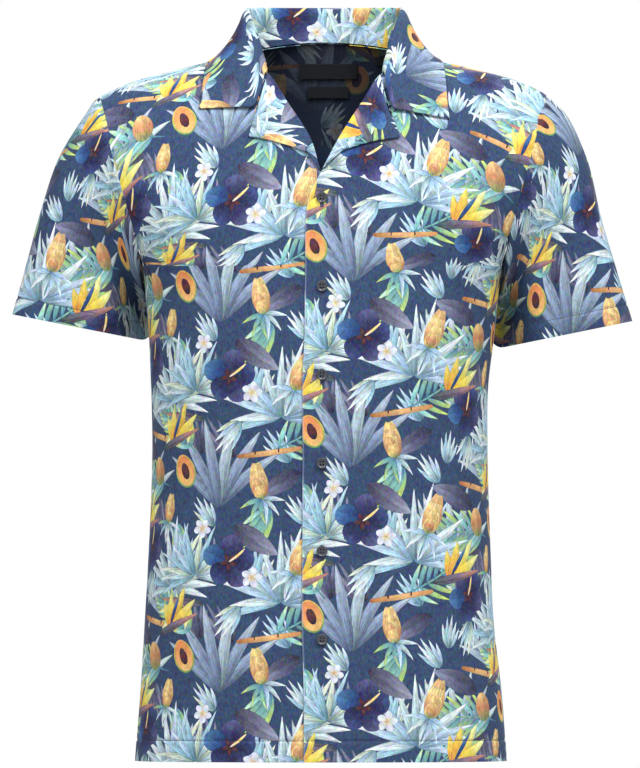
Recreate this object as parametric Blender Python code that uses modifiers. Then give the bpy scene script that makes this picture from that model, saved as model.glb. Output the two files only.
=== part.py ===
"""A short-sleeved camp-collar shirt, filled out as it is worn, with nobody in it.

Metres, +Z up, the front faces -Y and +X is the wearer's left. The origin is the middle of the
neck opening at the height of the high shoulder points, where the wearer's shoulders carry it.

Places on the body of the shirt are given in its own terms. "Out" is the distance from the centre
line towards a side. "Level" runs down a panel: 0 at the neck and shoulder seam, 1 at the
underarm, 2 at the hem. "Reach" runs across it: 0 at the centre line, 1 at the side seam or
armhole. "Tilt" is the turn over the shoulder, in degrees: 0 on top, minus in front, plus behind.
"""

from collections import namedtuple

import bpy
import numpy as np

# Cloth and seams
CLOTH = 0.0012
COLLAR_CLOTH = 0.0015
LABEL_CLOTH = 0.0010
HEM_CLOTH = 0.0020
SEAM_GAP = 0.0003
SIDE_GAP = 0.0016
TOP_GAP = 0.0022
BODY_HEM = 0.022
SLEEVE_HEM = 0.018
SLEEVE_LENGTH = 0.240

# Body
LEFT, RIGHT = 1, -1
FRONT, BACK = -1, 1
OVAL_SQUARE = 0.03
NECK_HALF = 0.076
NAPE_RISE = 0.009
NAPE_BACK = 0.058
NECK_LEAN = 0.004
UNDERARM_DROP = 0.222
ARMHOLE_FRONT = 0.070
ARMHOLE_BACK = 0.082
ROUND_FROM = 0.100
UNDERARM_EASE = 0.032
UNDERARM_FLARE = 0.85
UNDERARM_SIDE = np.radians(26)

# The torso's rings, from the underarm down to the hem
Ring = namedtuple("Ring", "drop half_width lean front back")
TORSO = [
    Ring(0.222, 0.1845, 0.0015, 0.118, 0.122),
    Ring(0.238, 0.1832, 0.0013, 0.1182, 0.1218),
    Ring(0.290, 0.1783, 0.0008, 0.121, 0.116),
    Ring(0.345, 0.1738, -0.0014, 0.120, 0.108),
    Ring(0.400, 0.1727, -0.0011, 0.117, 0.101),
    Ring(0.455, 0.1738, -0.0011, 0.114, 0.097),
    Ring(0.515, 0.1762, -0.0014, 0.113, 0.099),
    Ring(0.590, 0.1800, -0.0018, 0.114, 0.107),
    Ring(0.660, 0.1862, 0.0000, 0.116, 0.116),
    Ring(0.731, 0.1915, 0.0000, 0.118, 0.123),
]
HEM_DROP = TORSO[-1].drop

# Each shoulder: its slope, how fast it rounds off near the tip, and how far out the tip is
Shoulder = namedtuple("Shoulder", "slope rounding tip_out")
SHOULDERS = {RIGHT: Shoulder(0.250, 2.6, 0.2355), LEFT: Shoulder(0.240, 3.0, 0.2290)}

# Each front's free edge: down the neck, down the roll line, then down the buttoned edge
Edge = namedtuple("Edge", "drop out")
FRONT_EDGES = {
    RIGHT: [
        Edge(0.000, 0.0760),
        Edge(0.0110, 0.0690),
        Edge(0.0235, 0.0585),
        Edge(0.0560, 0.0374),
        Edge(0.0886, 0.0160),
        Edge(0.1246, 0.0030),
        Edge(0.1500, -0.0090),
        Edge(0.1650, -0.0135),
        Edge(0.1850, -0.0150),
        Edge(0.2100, -0.0150),
    ],
    LEFT: [
        Edge(0.000, 0.0760),
        Edge(0.0120, 0.0680),
        Edge(0.0250, 0.0575),
        Edge(0.0555, 0.0390),
        Edge(0.0822, 0.0220),
        Edge(0.1257, -0.0024),
        Edge(0.1430, -0.0120),
        Edge(0.1580, -0.0165),
        Edge(0.1750, -0.0178),
        Edge(0.2100, -0.0178),
    ],
}
OVERLAP_LIFT = 0.0024
OVERLAP_KEEP = 0.018
OVERLAP_FADE = 0.050

# The sleeves' rings, from armhole to hem: the crown is the top of the arm, the under side faces
# the body. Front and back are the ring's depths, and lift raises its inner back quarter.
Cuff = namedtuple("Cuff", "along crown_out crown_drop under_out under_back under_drop front back lift")
SLEEVES = {
    RIGHT: [
        Cuff(0.00, 0.2355, 0.0492, 0.1845, 0.000, 0.222, 0.070, 0.082, 0.000),
        Cuff(0.10, 0.2450, 0.0640, 0.1860, 0.012, 0.232, 0.068, 0.079, 0.000),
        Cuff(0.30, 0.2700, 0.1059, 0.1818, 0.034, 0.247, 0.063, 0.070, 0.003),
        Cuff(0.56, 0.2895, 0.1650, 0.1772, 0.046, 0.265, 0.057, 0.059, 0.008),
        Cuff(0.80, 0.3040, 0.2210, 0.1750, 0.047, 0.284, 0.053, 0.052, 0.012),
        Cuff(1.00, 0.3177, 0.2714, 0.1730, 0.048, 0.300, 0.050, 0.048, 0.015),
    ],
    LEFT: [
        Cuff(0.00, 0.2290, 0.0465, 0.1845, 0.000, 0.222, 0.070, 0.082, 0.000),
        Cuff(0.10, 0.2465, 0.0620, 0.1860, 0.012, 0.234, 0.068, 0.079, 0.000),
        Cuff(0.30, 0.2708, 0.1078, 0.1818, 0.034, 0.251, 0.063, 0.070, 0.003),
        Cuff(0.56, 0.2880, 0.1720, 0.1772, 0.046, 0.270, 0.057, 0.059, 0.008),
        Cuff(0.80, 0.3055, 0.2290, 0.1757, 0.047, 0.291, 0.053, 0.052, 0.012),
        Cuff(1.00, 0.3205, 0.2783, 0.1745, 0.048, 0.308, 0.050, 0.048, 0.015),
    ],
}
ARMHOLE_STEP = 0.0011
ARMHOLE_GAP = 0.0008

# Half of the collar, from the middle of the back round to the gorge, where it meets the lapel
Section = namedtuple("Section", "turn neck_out neck_tilt roll_out roll_y roll_z edge_out edge_tilt")
COLLAR = [
    Section(0.00, 0.0000, 0.0, 0.0000, 0.0680, 0.0430, 0.0000, 24.0),
    Section(0.15, 0.0300, 0.0, 0.0330, 0.0640, 0.0430, 0.0370, 24.0),
    Section(0.30, 0.0550, 0.0, 0.0590, 0.0480, 0.0430, 0.0700, 22.0),
    Section(0.43, 0.0710, 0.0, 0.0762, 0.0250, 0.0428, 0.0980, 14.0),
    Section(0.55, 0.0755, -1.5, 0.0795, 0.0010, 0.0400, 0.1145, 0.0),
    Section(0.67, 0.0730, -9.0, 0.0750, -0.0200, 0.0285, 0.1215, -11.0),
    Section(0.79, 0.0690, -17.0, 0.0690, -0.0380, 0.0110, 0.1240, -22.0),
    Section(0.90, 0.0635, -24.0, 0.0640, -0.0510, -0.0070, 0.1260, -32.0),
    Section(1.00, 0.0582, -29.0, 0.0590, -0.0590, -0.0220, 0.1285, -39.5),
]
FALL_CLEAR = 0.0030
STAND_CLEAR = 0.0008
ROLL_RADIUS = 0.0024
FALL_DRAPE = 1.6
POINT_DROOP = {RIGHT: 0.0, LEFT: 4.4}
GORGE_BLEND = 0.62

# The notch between collar and lapel, and the lapel's outline from the notch round to its foot
Outline = namedtuple("Outline", "share out drop")
LAPELS = {
    RIGHT: [
        Outline(0.00, 0.0687, 0.0604),
        Outline(0.14, 0.0735, 0.0750),
        Outline(0.28, 0.0770, 0.0897),
        Outline(0.52, 0.0560, 0.0934),
        Outline(0.72, 0.0333, 0.1000),
        Outline(0.88, 0.0165, 0.1070),
        Outline(0.97, 0.0075, 0.1195),
    ],
    LEFT: [
        Outline(0.00, 0.0660, 0.0612),
        Outline(0.14, 0.0725, 0.0750),
        Outline(0.28, 0.0780, 0.0909),
        Outline(0.52, 0.0557, 0.0936),
        Outline(0.72, 0.0380, 0.0985),
        Outline(0.88, 0.0200, 0.1045),
        Outline(0.97, 0.0040, 0.1180),
    ],
}
LAPEL_TOP = {RIGHT: 0.0238, LEFT: 0.0253}
LAPEL_FOOT = {RIGHT: 0.1230, LEFT: 0.1215}
LAPEL_CLEAR = 0.0019
LAPEL_SWELL = 0.0022

# Buttons
BUTTON_GAP = 0.0006
BUTTON_RADIUS = 0.0057
BUTTON_THICK = 0.0024
BUTTON_RIM = 0.0012
BUTTON_DISH = 0.0007
HOLE_RADIUS = 0.0008
HOLE_SPREAD = 0.0014
FIRST_BUTTON_DROP = 0.152
BUTTON_PITCH = 0.0906
BUTTON_COUNT = 6
BUTTON_X = 0.001

# Labels inside the back: their middle, size and place
LABEL_GAP = 0.0009
Label = namedtuple("Label", "name out drop width height")
LABELS = [
    Label("neck_label", 0.0040, 0.0190, 0.060, 0.0150),
    Label("fit_label", 0.0040, 0.0407, 0.042, 0.0115),
    Label("size_tab", 0.0600, 0.0080, 0.013, 0.0080),
]

# Colours, and how finely each piece is divided
NAVY = (0.035, 0.045, 0.13)
BLACK = (0.008, 0.008, 0.012)
UPPER_ROWS, LOWER_ROWS = 11, 13
NECK_COLUMNS, SHOULDER_COLUMNS, FRONT_COLUMNS = 6, 7, 10
SLEEVE_ROUND, SLEEVE_ROWS = 26, 9


def through(rows, at):
    """A table's columns at the places `at` in its first column, on smooth curves through its rows."""
    rows = np.array(rows, float)
    key, values = rows[:, 0], rows[:, 1:]
    slope = np.gradient(values, key, axis=0)
    at = np.clip(np.asarray(at, float), key[0], key[-1])
    i = np.clip(np.searchsorted(key, at) - 1, 0, len(key) - 2)
    step = (key[i + 1] - key[i])[..., None]
    t = (at - key[i])[..., None] / step
    start = (1 + 2 * t) * (1 - t) ** 2 * values[i] + t * (1 - t) ** 2 * step * slope[i]
    end = t * t * (3 - 2 * t) * values[i + 1] - t * t * (1 - t) * step * slope[i + 1]
    return np.moveaxis(start + end, -1, 0)


def smooth_step(t):
    t = np.clip(t, 0, 1)
    return t * t * (3 - 2 * t)


def oval_out(angle):
    return (1 + OVAL_SQUARE) * np.sin(angle) + OVAL_SQUARE * np.sin(3 * angle)


def oval_deep(angle):
    return (1 + OVAL_SQUARE) * np.cos(angle) - OVAL_SQUARE * np.cos(3 * angle)


def top_height(side, out):
    """The height of the neck and shoulder seam at a distance out."""
    shoulder = SHOULDERS[side]
    past = out - NECK_HALF
    slope = -shoulder.slope * past - shoulder.rounding * np.clip(past - ROUND_FROM, 0, None) ** 2
    return np.where(past > 0, slope, NAPE_RISE * (1 - (out / NECK_HALF) ** 2))


def top_back(face, out):
    """How far back the neck seam lies: behind the neck it bows round the nape."""
    bow = NAPE_BACK * (1 - np.clip(np.abs(out) / NECK_HALF, 0, 1) ** 3)
    return bow if face == BACK else 0 * bow


def turned(level):
    """The cosine and sine of the turn from the seam on top (0) to the underarm (1)."""
    cosine = np.cos(np.pi * np.clip(level, 0, 1) / 2) ** 2
    return cosine, np.sqrt(1 - cosine**2)


def armhole_angle(level):
    """The angle round the oval at which the armhole cuts it."""
    cosine, _ = turned(level)
    turn = np.arccos(cosine) / (np.pi / 2)
    return np.pi / 2 - np.radians(50) * np.sqrt(np.clip(1 - turn**2.64, 0, 1))


def armhole(side, face, level):
    """The armhole's out, y and z from the shoulder tip (0) to the underarm (1)."""
    cosine, _ = turned(level)
    psi = np.pi * np.clip(level, 0, 1)
    tip = SHOULDERS[side].tip_out
    out = TORSO[0].half_width + (tip - TORSO[0].half_width) * cosine
    tip_height = top_height(side, tip)
    height = -UNDERARM_DROP + (tip_height + UNDERARM_DROP) * cosine
    deep = (1 + OVAL_SQUARE) * np.sin(psi) + OVAL_SQUARE * np.sin(3 * psi)
    return out, face * (ARMHOLE_FRONT if face == FRONT else ARMHOLE_BACK) * deep, height


def lean(level):
    """How far the centre line stands to one side."""
    cosine, _ = turned(level)
    upper = TORSO[0].lean + (NECK_LEAN - TORSO[0].lean) * cosine
    drop = UNDERARM_DROP + (np.clip(level, 1, 2) - 1) * (HEM_DROP - UNDERARM_DROP)
    return np.where(level < 1, upper, through(TORSO, drop)[1])


def body(side, face, reach, level):
    """Points on the outside of the body at a reach and level, as an array (..., 3)."""
    reach, level = np.broadcast_arrays(np.asarray(reach, float), np.asarray(level, float))
    cosine, sine = turned(level)
    cut = armhole_angle(level)
    arm_out, arm_y, arm_z = armhole(side, face, level)
    deep = TORSO[0].front if face == FRONT else TORSO[0].back

    def upper(share):
        out = arm_out * oval_out(share * cut) / oval_out(cut)
        y = face * deep * oval_deep(share * cut) * sine + top_back(face, out) * (1 - sine) ** 2
        z = -UNDERARM_DROP + (top_height(side, np.abs(out)) + UNDERARM_DROP) * cosine
        return out, y, z

    out, y, z = upper(reach)
    _, end_y, end_z = upper(np.ones_like(reach))
    pull = np.clip(np.abs(reach), 0, 1.2) ** 4
    upper_points = (out, y + pull * (arm_y - end_y), z + pull * (arm_z - end_z))

    drop = UNDERARM_DROP + (np.clip(level, 1, 2) - 1) * (HEM_DROP - UNDERARM_DROP)
    half, _, front, back = through(TORSO, drop)
    angle = reach * np.pi / 2
    lower_points = (
        half * oval_out(angle),
        face * (front if face == FRONT else back) * oval_deep(angle),
        -drop,
    )
    out, y, z = (np.where(level < 1, u, w) for u, w in zip(upper_points, lower_points))
    near = np.clip(1 - np.abs(z + UNDERARM_DROP) / UNDERARM_EASE, 0, 1)
    turn = np.clip(reach, -1, 1) * np.where(level < 1, cut, np.pi / 2)
    clear = smooth_step((np.where(level < 1, cut, np.pi / 2) - np.abs(turn)) / UNDERARM_SIDE)
    out = out + UNDERARM_FLARE * UNDERARM_EASE / 4 * near**2 * np.sin(turn) * clear
    return np.stack([side * out + lean(level), y, z], -1)


def reach_at(side, level, out):
    """The reach at which the body has gone a given distance out."""
    level, out = np.broadcast_arrays(np.asarray(level, float), np.asarray(out, float))
    drop = UNDERARM_DROP + (np.clip(level, 1, 2) - 1) * (HEM_DROP - UNDERARM_DROP)
    cut = np.where(level < 1, armhole_angle(level), np.pi / 2)
    arm_out, _, _ = armhole(side, FRONT, level)
    whole = np.where(level < 1, arm_out / oval_out(cut), through(TORSO, drop)[0])
    wanted = out / whole
    sine = wanted / (1 + 4 * OVAL_SQUARE)
    for _ in range(12):
        error = (1 + 4 * OVAL_SQUARE) * sine - 4 * OVAL_SQUARE * sine**3 - wanted
        sine = sine - error / (1 + 4 * OVAL_SQUARE - 12 * OVAL_SQUARE * sine**2)
    return np.arcsin(np.clip(sine, -1, 1)) / cut


def level_at(side, out, drop):
    """The level at which the body, a given distance out, is a given drop below the neck."""
    top = top_height(side, np.abs(out))
    cosine = np.clip((UNDERARM_DROP - drop) / (top + UNDERARM_DROP), 0, 1)
    upper = 2 * np.arccos(np.sqrt(cosine)) / np.pi
    return np.where(drop < UNDERARM_DROP, upper, 1 + (drop - UNDERARM_DROP) / (HEM_DROP - UNDERARM_DROP))


def level_of_tilt(tilt):
    return 2 * np.arccos(np.sqrt(np.cos(np.radians(np.abs(tilt))))) / np.pi


def lifted(side, face, reach, level, lift):
    """Points on the body, moved straight out of its surface by a lift."""
    small = 1e-4
    lower = np.minimum(np.asarray(level) + small, 2)
    here = body(side, face, reach, level)
    across = body(side, face, reach + small, level) - here
    down = body(side, face, reach, lower) - body(side, face, reach, lower - small)
    normal = np.cross(across, down) * side * face
    normal /= np.linalg.norm(normal, axis=-1, keepdims=True)
    return here + normal * np.asarray(lift)[..., None]


def on_top(side, out, tilt, lift):
    """Points over the shoulder at a distance out and a tilt, moved out by a lift."""
    out, tilt, lift = np.broadcast_arrays(*(np.asarray(v, float) for v in (out, tilt, lift)))
    level = np.maximum(level_of_tilt(tilt), 0.004)
    reach = reach_at(side, level, out)
    front = lifted(side, FRONT, reach, level, lift)
    back = lifted(side, BACK, reach, level, lift)
    return np.where((tilt < 0)[..., None], front, back)


def material(name, colour, roughness):
    made = bpy.data.materials.new(name)
    made.use_nodes = True
    shader = made.node_tree.nodes["Principled BSDF"]
    shader.inputs["Base Color"].default_value = (*colour, 1)
    shader.inputs["Roughness"].default_value = roughness
    shader.inputs["Metallic"].default_value = 0.0
    return made


def grid_faces(rows, columns, closed=False):
    faces = []
    for i in range(rows - 1):
        for j in range(columns if closed else columns - 1):
            k = (j + 1) % columns
            faces.append((i * columns + j, i * columns + k, (i + 1) * columns + k, (i + 1) * columns + j))
    return faces


def cloth(name, points, colour, thick, closed=False, flip=False, hem_rows=0):
    """A wall of cloth whose outside is a grid of points, hemmed along its last rows."""
    rows, columns = points.shape[:2]
    faces = grid_faces(rows, columns, closed)
    if flip:
        faces = [face[::-1] for face in faces]
    mesh = bpy.data.meshes.new(name)
    mesh.from_pydata(points.reshape(-1, 3).tolist(), [], faces)
    piece = bpy.data.objects.new(name, mesh)
    shirt.objects.link(piece)
    piece.data.materials.append(material(name, colour, 0.85))
    mesh.shade_smooth()
    wall = piece.modifiers.new("wall", "SOLIDIFY")
    wall.offset = -1
    wall.thickness = HEM_CLOTH if hem_rows else thick
    if hem_rows:
        hem = piece.vertex_groups.new(name="hem")
        hem.add(list(range((rows - hem_rows) * columns, rows * columns)), 1.0, "REPLACE")
        wall.vertex_group = "hem"
        wall.thickness_vertex_group = thick / HEM_CLOTH
    return piece


def body_levels():
    """Levels down a panel: closest at the top seam, and a pair of rows at the hem."""
    upper = TOP_GAP + (1 - TOP_GAP) * np.linspace(0, 1, UPPER_ROWS + 1)[:-1]
    hem_level = 2 - BODY_HEM / (HEM_DROP - UNDERARM_DROP)
    lower = np.linspace(1, hem_level, LOWER_ROWS)
    return np.concatenate([upper, lower, [hem_level + 0.004, 2.0]])


def make_back():
    """One panel from side to side: its top is the back of the neck and both shoulder seams."""
    levels = body_levels()[:, None]
    high_point = float(reach_at(LEFT, 0.001, NECK_HALF))
    neck = np.linspace(0, high_point, NECK_COLUMNS + 1)
    shoulder = np.linspace(high_point, 1 - SIDE_GAP, SHOULDER_COLUMNS + 1)[1:]
    reach = np.concatenate([neck, shoulder])
    right = body(RIGHT, BACK, reach[::-1][None, :], levels)
    left = body(LEFT, BACK, reach[None, 1:], levels)
    cloth("back", np.concatenate([right, left], 1), NAVY, CLOTH, hem_rows=2)


def edge_reach(side, levels):
    """The reach of a front's free edge at each level, found by closing in on it."""
    low, high = np.full(levels.shape, -0.2), np.full(levels.shape, 0.8)
    for _ in range(40):
        middle = (low + high) / 2
        point = body(side, FRONT, middle, levels)
        out = side * (point[..., 0] - lean(levels))
        beyond = out > through(FRONT_EDGES[side], -point[..., 2])[0]
        low, high = np.where(beyond, low, middle), np.where(beyond, middle, high)
    return middle


def overlap(side, points, levels):
    """The lift of the upper front, which lies on the other one along the buttoned edge."""
    if side == RIGHT:
        return np.zeros(points.shape[:-1])
    out = side * (points[..., 0] - lean(levels))
    return OVERLAP_LIFT * (1 - smooth_step((out - OVERLAP_KEEP) / OVERLAP_FADE))


def make_front(side, name):
    """A front from its neck, roll line and buttoned edge out to the armhole and side seam."""
    levels = body_levels()
    inner = edge_reach(side, levels)
    share = np.linspace(0, 1, FRONT_COLUMNS + 1)[None, :]
    reach = inner[:, None] + (1 - SIDE_GAP - inner[:, None]) * share
    levels = levels[:, None] + 0 * reach
    lift = overlap(side, body(side, FRONT, reach, levels), levels)
    points = lifted(side, FRONT, reach, levels, lift)
    cloth(name, points, NAVY, CLOTH, flip=side == LEFT, hem_rows=2)


def sleeve_points(side, along, around):
    """Points on a sleeve: along from armhole to hem, around from the crown by way of the front."""
    crown_out, crown_drop, under_out, under_back, under_drop, front, back, lift = through(
        SLEEVES[side], along
    )
    across = (1 + OVAL_SQUARE) * np.cos(around) - OVAL_SQUARE * np.cos(3 * around)
    deep = (1 + OVAL_SQUARE) * np.sin(around) + OVAL_SQUARE * np.sin(3 * around)
    crown_lean = NECK_LEAN * (1 - along) ** 2
    out = (crown_out + under_out) / 2 + (crown_out - under_out) / 2 * across
    y = under_back / 2 * (1 - across) - np.where(deep > 0, front, back) * deep
    z = -(crown_drop + under_drop) / 2 + (under_drop - crown_drop) / 2 * across
    turn = np.degrees(around)
    raised = smooth_step((turn - 140) / 45) * (1 - smooth_step((turn - 290) / 60))
    sway = crown_lean * (1 + across) / 2 + TORSO[0].lean * (1 - across) / 2 * (1 - along)
    return np.stack([side * out + sway, y, z + lift * raised], -1)


def make_sleeve(side, name):
    """A sleeve, closed round its own seam, standing just off the armhole."""
    hem_share = SLEEVE_HEM / SLEEVE_LENGTH
    along = np.concatenate([np.linspace(0, 1 - hem_share, SLEEVE_ROWS), [1 - hem_share + 0.01, 1.0]])
    around = np.linspace(0, 2 * np.pi, SLEEVE_ROUND + 1)[:-1]
    points = sleeve_points(side, along[:, None], around[None, :])
    step = ARMHOLE_STEP * (1 + np.cos(around)) / 2 + ARMHOLE_GAP
    points[0, :, 0] += side * step
    cloth(name, points, NAVY, CLOTH, closed=True, flip=side == RIGHT, hem_rows=2)


def collar_section(side, turn):
    """One section across the collar: up the stand, over the roll and down the fall."""
    neck_out, neck_tilt, roll_out, roll_y, roll_z, edge_out, edge_tilt = through(COLLAR, turn)
    edge_tilt = edge_tilt - POINT_DROOP[side] * smooth_step((turn - 0.6) / 0.4)
    foot = on_top(side, neck_out, neck_tilt, STAND_CLEAR)
    sway = np.array([NECK_LEAN, 0, 0])
    roll = np.array([side * roll_out, roll_y, roll_z]) + sway

    share = np.linspace(0.06, 1, 8)
    out = neck_out + (edge_out - neck_out) * share
    tilt = neck_tilt + (edge_tilt - neck_tilt) * share
    notch = LAPELS[side][0]
    notch_level = level_at(side, notch.out, notch.drop)
    notch_tilt = -np.degrees(np.arccos(turned(notch_level)[0]))
    bend = 0.28
    first, second = np.clip(share / bend, 0, 1), np.clip((share - bend) / (1 - bend), 0, 1)
    bent_out = neck_out + (notch.out - neck_out) * first + (edge_out - notch.out) * second
    bent_tilt = neck_tilt + (notch_tilt - neck_tilt) * first + (edge_tilt - notch_tilt) * second
    blend = max(0.0, (turn - GORGE_BLEND) / (1 - GORGE_BLEND)) ** 2
    out, tilt = out + (bent_out - out) * blend, tilt + (bent_tilt - tilt) * blend

    rise = roll - on_top(side, neck_out, neck_tilt, 0.0)
    fade = (1 - share) ** FALL_DRAPE
    fall = on_top(side, out, tilt, FALL_CLEAR) + rise * fade[:, None]
    outward = fall[-1] - foot
    up = (roll - foot) / np.linalg.norm(roll - foot)
    outward -= up * outward.dot(up)
    outward /= np.linalg.norm(outward)
    radius = min(ROLL_RADIUS, 0.35 * np.linalg.norm(roll - foot))
    stand = [foot + (roll - outward * radius - foot) * t for t in (0, 0.33, 0.66, 0.97)]
    crest = [roll + radius * (up * 0.8 - outward * 0.6), roll + radius * up, roll + radius * (up * 0.7 + outward * 0.8)]
    fall = fall + outward * radius * fade[:, None]
    return np.array([*stand, *crest, *fall])


def make_collar():
    """The collar in one piece, folded over its roll line, from gorge to gorge."""
    turns = [0.0, 0.075, 0.15, 0.225, 0.30, 0.37, 0.43, 0.49, 0.55, 0.61, 0.67, 0.73, 0.79, 0.85, 0.90, 0.95, 1.0]
    right = [collar_section(RIGHT, turn) for turn in reversed(turns)]
    left = [collar_section(LEFT, turn) for turn in turns[1:]]
    cloth("collar", np.array(right + left), NAVY, COLLAR_CLOTH, flip=True)


def make_lapel(side, name):
    """The facing's top, turned out over the front along the roll line."""
    shares = np.array([0.0, 0.07, 0.14, 0.21, 0.28, 0.36, 0.44, 0.52, 0.62, 0.72, 0.80, 0.88, 0.97])
    outline = np.array(LAPELS[side])
    outer_out = np.interp(shares, outline[:, 0], outline[:, 1])
    outer_drop = np.interp(shares, outline[:, 0], outline[:, 2])
    roll_drop = LAPEL_TOP[side] + (LAPEL_FOOT[side] - LAPEL_TOP[side]) * shares / shares[-1]
    roll_out = through(FRONT_EDGES[side], roll_drop)[0]
    across = np.linspace(0, 1, 8)[None, :]
    out = roll_out[:, None] + (outer_out - roll_out)[:, None] * across
    drop = roll_drop[:, None] + (outer_drop - roll_drop)[:, None] * across
    drop[0] += SEAM_GAP * 4
    level = level_at(side, out, drop)
    lift = LAPEL_CLEAR + LAPEL_SWELL * np.sin(np.pi * across * 0.8) * (1 - shares[:, None] * 0.6)
    lift = lift + overlap(side, body(side, FRONT, reach_at(side, level, out), level), level)
    points = lifted(side, FRONT, reach_at(side, level, out), level, lift)
    cloth(name, points, NAVY, CLOTH, flip=side == LEFT)


def make_labels():
    """Bare woven labels inside the back, made from its points and moved in."""
    for label in LABELS:
        across = np.linspace(-0.5, 0.5, 7)[None, :] * label.width
        down = np.linspace(-0.5, 0.5, 3)[:, None] * label.height
        out, drop = label.out + across, label.drop + down + 0 * across
        out = out + 0 * down
        level = level_at(LEFT, out, drop)
        reach = reach_at(LEFT, level, out)
        points = lifted(LEFT, BACK, reach, level, -(CLOTH + LABEL_GAP))
        cloth(label.name, points, BLACK, LABEL_CLOTH)


def button_profile():
    """Half of a button's section, from the middle of its back to the middle of its dish."""
    r, t = BUTTON_RADIUS, BUTTON_THICK
    return [
        (0.0, 0.0),
        (r * 0.80, 0.0),
        (r, t * 0.35),
        (r, t * 0.75),
        (r - 0.0004, t),
        (r - BUTTON_RIM, t),
        (r - BUTTON_RIM - 0.0005, t - BUTTON_DISH),
        (0.0, t - BUTTON_DISH),
    ]


def make_buttons():
    """Six turned buttons with four holes, each standing just off the upper front."""
    round_steps = 24
    rings = []
    for radius, height in button_profile()[1:-1]:
        turn = np.linspace(0, 2 * np.pi, round_steps + 1)[:-1]
        rings.append(np.stack([radius * np.cos(turn), 0 * turn - height, radius * np.sin(turn)], -1))
    points = np.concatenate(rings).tolist()
    faces = grid_faces(len(rings), round_steps, closed=True)
    faces.append(tuple(range(round_steps))[::-1])
    faces.append(tuple(range((len(rings) - 1) * round_steps, len(rings) * round_steps)))
    mesh = bpy.data.meshes.new("button")
    mesh.from_pydata(points, [], faces)
    mesh.materials.append(material("button", BLACK, 0.35))
    for number in range(BUTTON_COUNT):
        drop = FIRST_BUTTON_DROP + number * BUTTON_PITCH
        level = level_at(LEFT, 0.0, drop)
        out = LEFT * (BUTTON_X - float(lean(level)))
        reach = reach_at(LEFT, level, out)
        seat = lifted(LEFT, FRONT, reach, level, OVERLAP_LIFT + BUTTON_GAP)
        piece = bpy.data.objects.new("button_%d" % (number + 1), mesh)
        piece.location = seat.tolist()
        shirt.objects.link(piece)
        for corner in range(4):
            turn = np.radians(45 + 90 * corner)
            bpy.ops.mesh.primitive_cylinder_add(
                vertices=8,
                radius=HOLE_RADIUS,
                depth=0.01,
                location=(
                    seat[0] + HOLE_SPREAD * np.cos(turn),
                    seat[1] - BUTTON_THICK / 2,
                    seat[2] + HOLE_SPREAD * np.sin(turn),
                ),
                rotation=(np.pi / 2, 0, 0),
            )
            drill = bpy.context.object
            drill.name = "drill_%d_%d" % (number + 1, corner + 1)
            drill.hide_render = True
            drill.display_type = "WIRE"
            for collection in drill.users_collection:
                collection.objects.unlink(drill)
            cutters.objects.link(drill)
            cut = piece.modifiers.new("hole", "BOOLEAN")
            cut.operation = "DIFFERENCE"
            cut.object = drill


for old in list(bpy.data.objects):
    bpy.data.objects.remove(old)
shirt = bpy.data.collections.new("camp_collar_shirt")
cutters = bpy.data.collections.new("cutters")
bpy.context.scene.collection.children.link(shirt)
bpy.context.scene.collection.children.link(cutters)

make_back()
make_front(RIGHT, "front_right")
make_front(LEFT, "front_left")
make_lapel(RIGHT, "lapel_right")
make_lapel(LEFT, "lapel_left")
make_collar()
make_sleeve(RIGHT, "sleeve_right")
make_sleeve(LEFT, "sleeve_left")
make_buttons()
make_labels()
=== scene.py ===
"""A short-sleeved camp-collar shirt, filled out as it is worn, with nobody in it.

Metres, +Z up, the front faces -Y and +X is the wearer's left, as in model.glb. The cloth is
printed first, then each piece is cut from it, seamed, hemmed and buttoned, in that order.
"""

import math
import random
from collections import namedtuple

import bpy
import numpy as np
from mathutils import Matrix, Vector


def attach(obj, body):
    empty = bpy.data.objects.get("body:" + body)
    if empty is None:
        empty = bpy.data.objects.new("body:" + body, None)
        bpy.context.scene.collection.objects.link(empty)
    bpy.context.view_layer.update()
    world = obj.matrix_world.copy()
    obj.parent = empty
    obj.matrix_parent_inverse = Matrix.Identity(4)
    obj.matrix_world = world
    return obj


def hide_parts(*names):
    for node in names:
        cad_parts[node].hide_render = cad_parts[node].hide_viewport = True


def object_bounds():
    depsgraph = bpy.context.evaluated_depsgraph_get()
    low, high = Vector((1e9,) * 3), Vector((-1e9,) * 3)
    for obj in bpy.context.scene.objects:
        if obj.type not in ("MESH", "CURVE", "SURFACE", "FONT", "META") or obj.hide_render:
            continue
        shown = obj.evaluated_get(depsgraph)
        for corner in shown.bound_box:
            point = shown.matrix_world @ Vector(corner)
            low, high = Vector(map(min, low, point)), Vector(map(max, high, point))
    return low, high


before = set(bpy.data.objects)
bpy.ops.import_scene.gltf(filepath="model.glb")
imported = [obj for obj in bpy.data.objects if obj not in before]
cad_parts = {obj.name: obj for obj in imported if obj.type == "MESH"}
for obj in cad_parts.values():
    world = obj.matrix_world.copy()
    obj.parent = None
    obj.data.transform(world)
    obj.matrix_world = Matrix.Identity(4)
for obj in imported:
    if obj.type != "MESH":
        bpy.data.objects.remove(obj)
cad_low, cad_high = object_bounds()

# ---- The printed jersey -------------------------------------------------------------------------
# Fine combed-cotton jersey, printed on one face with a half-drop repeat of tropical leaves and
# flowers in watercolour on navy. Every leaf and petal is a blade: a shape that grows along a bent
# line from its root to its tip. Each face of the cloth carries the few blades that show on it.
MM = 0.001
REPEAT_WIDE, REPEAT_HIGH = 232.0, 190.0
Blade = namedtuple("Blade", "x y turn long wide bend full blunt dye")
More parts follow.
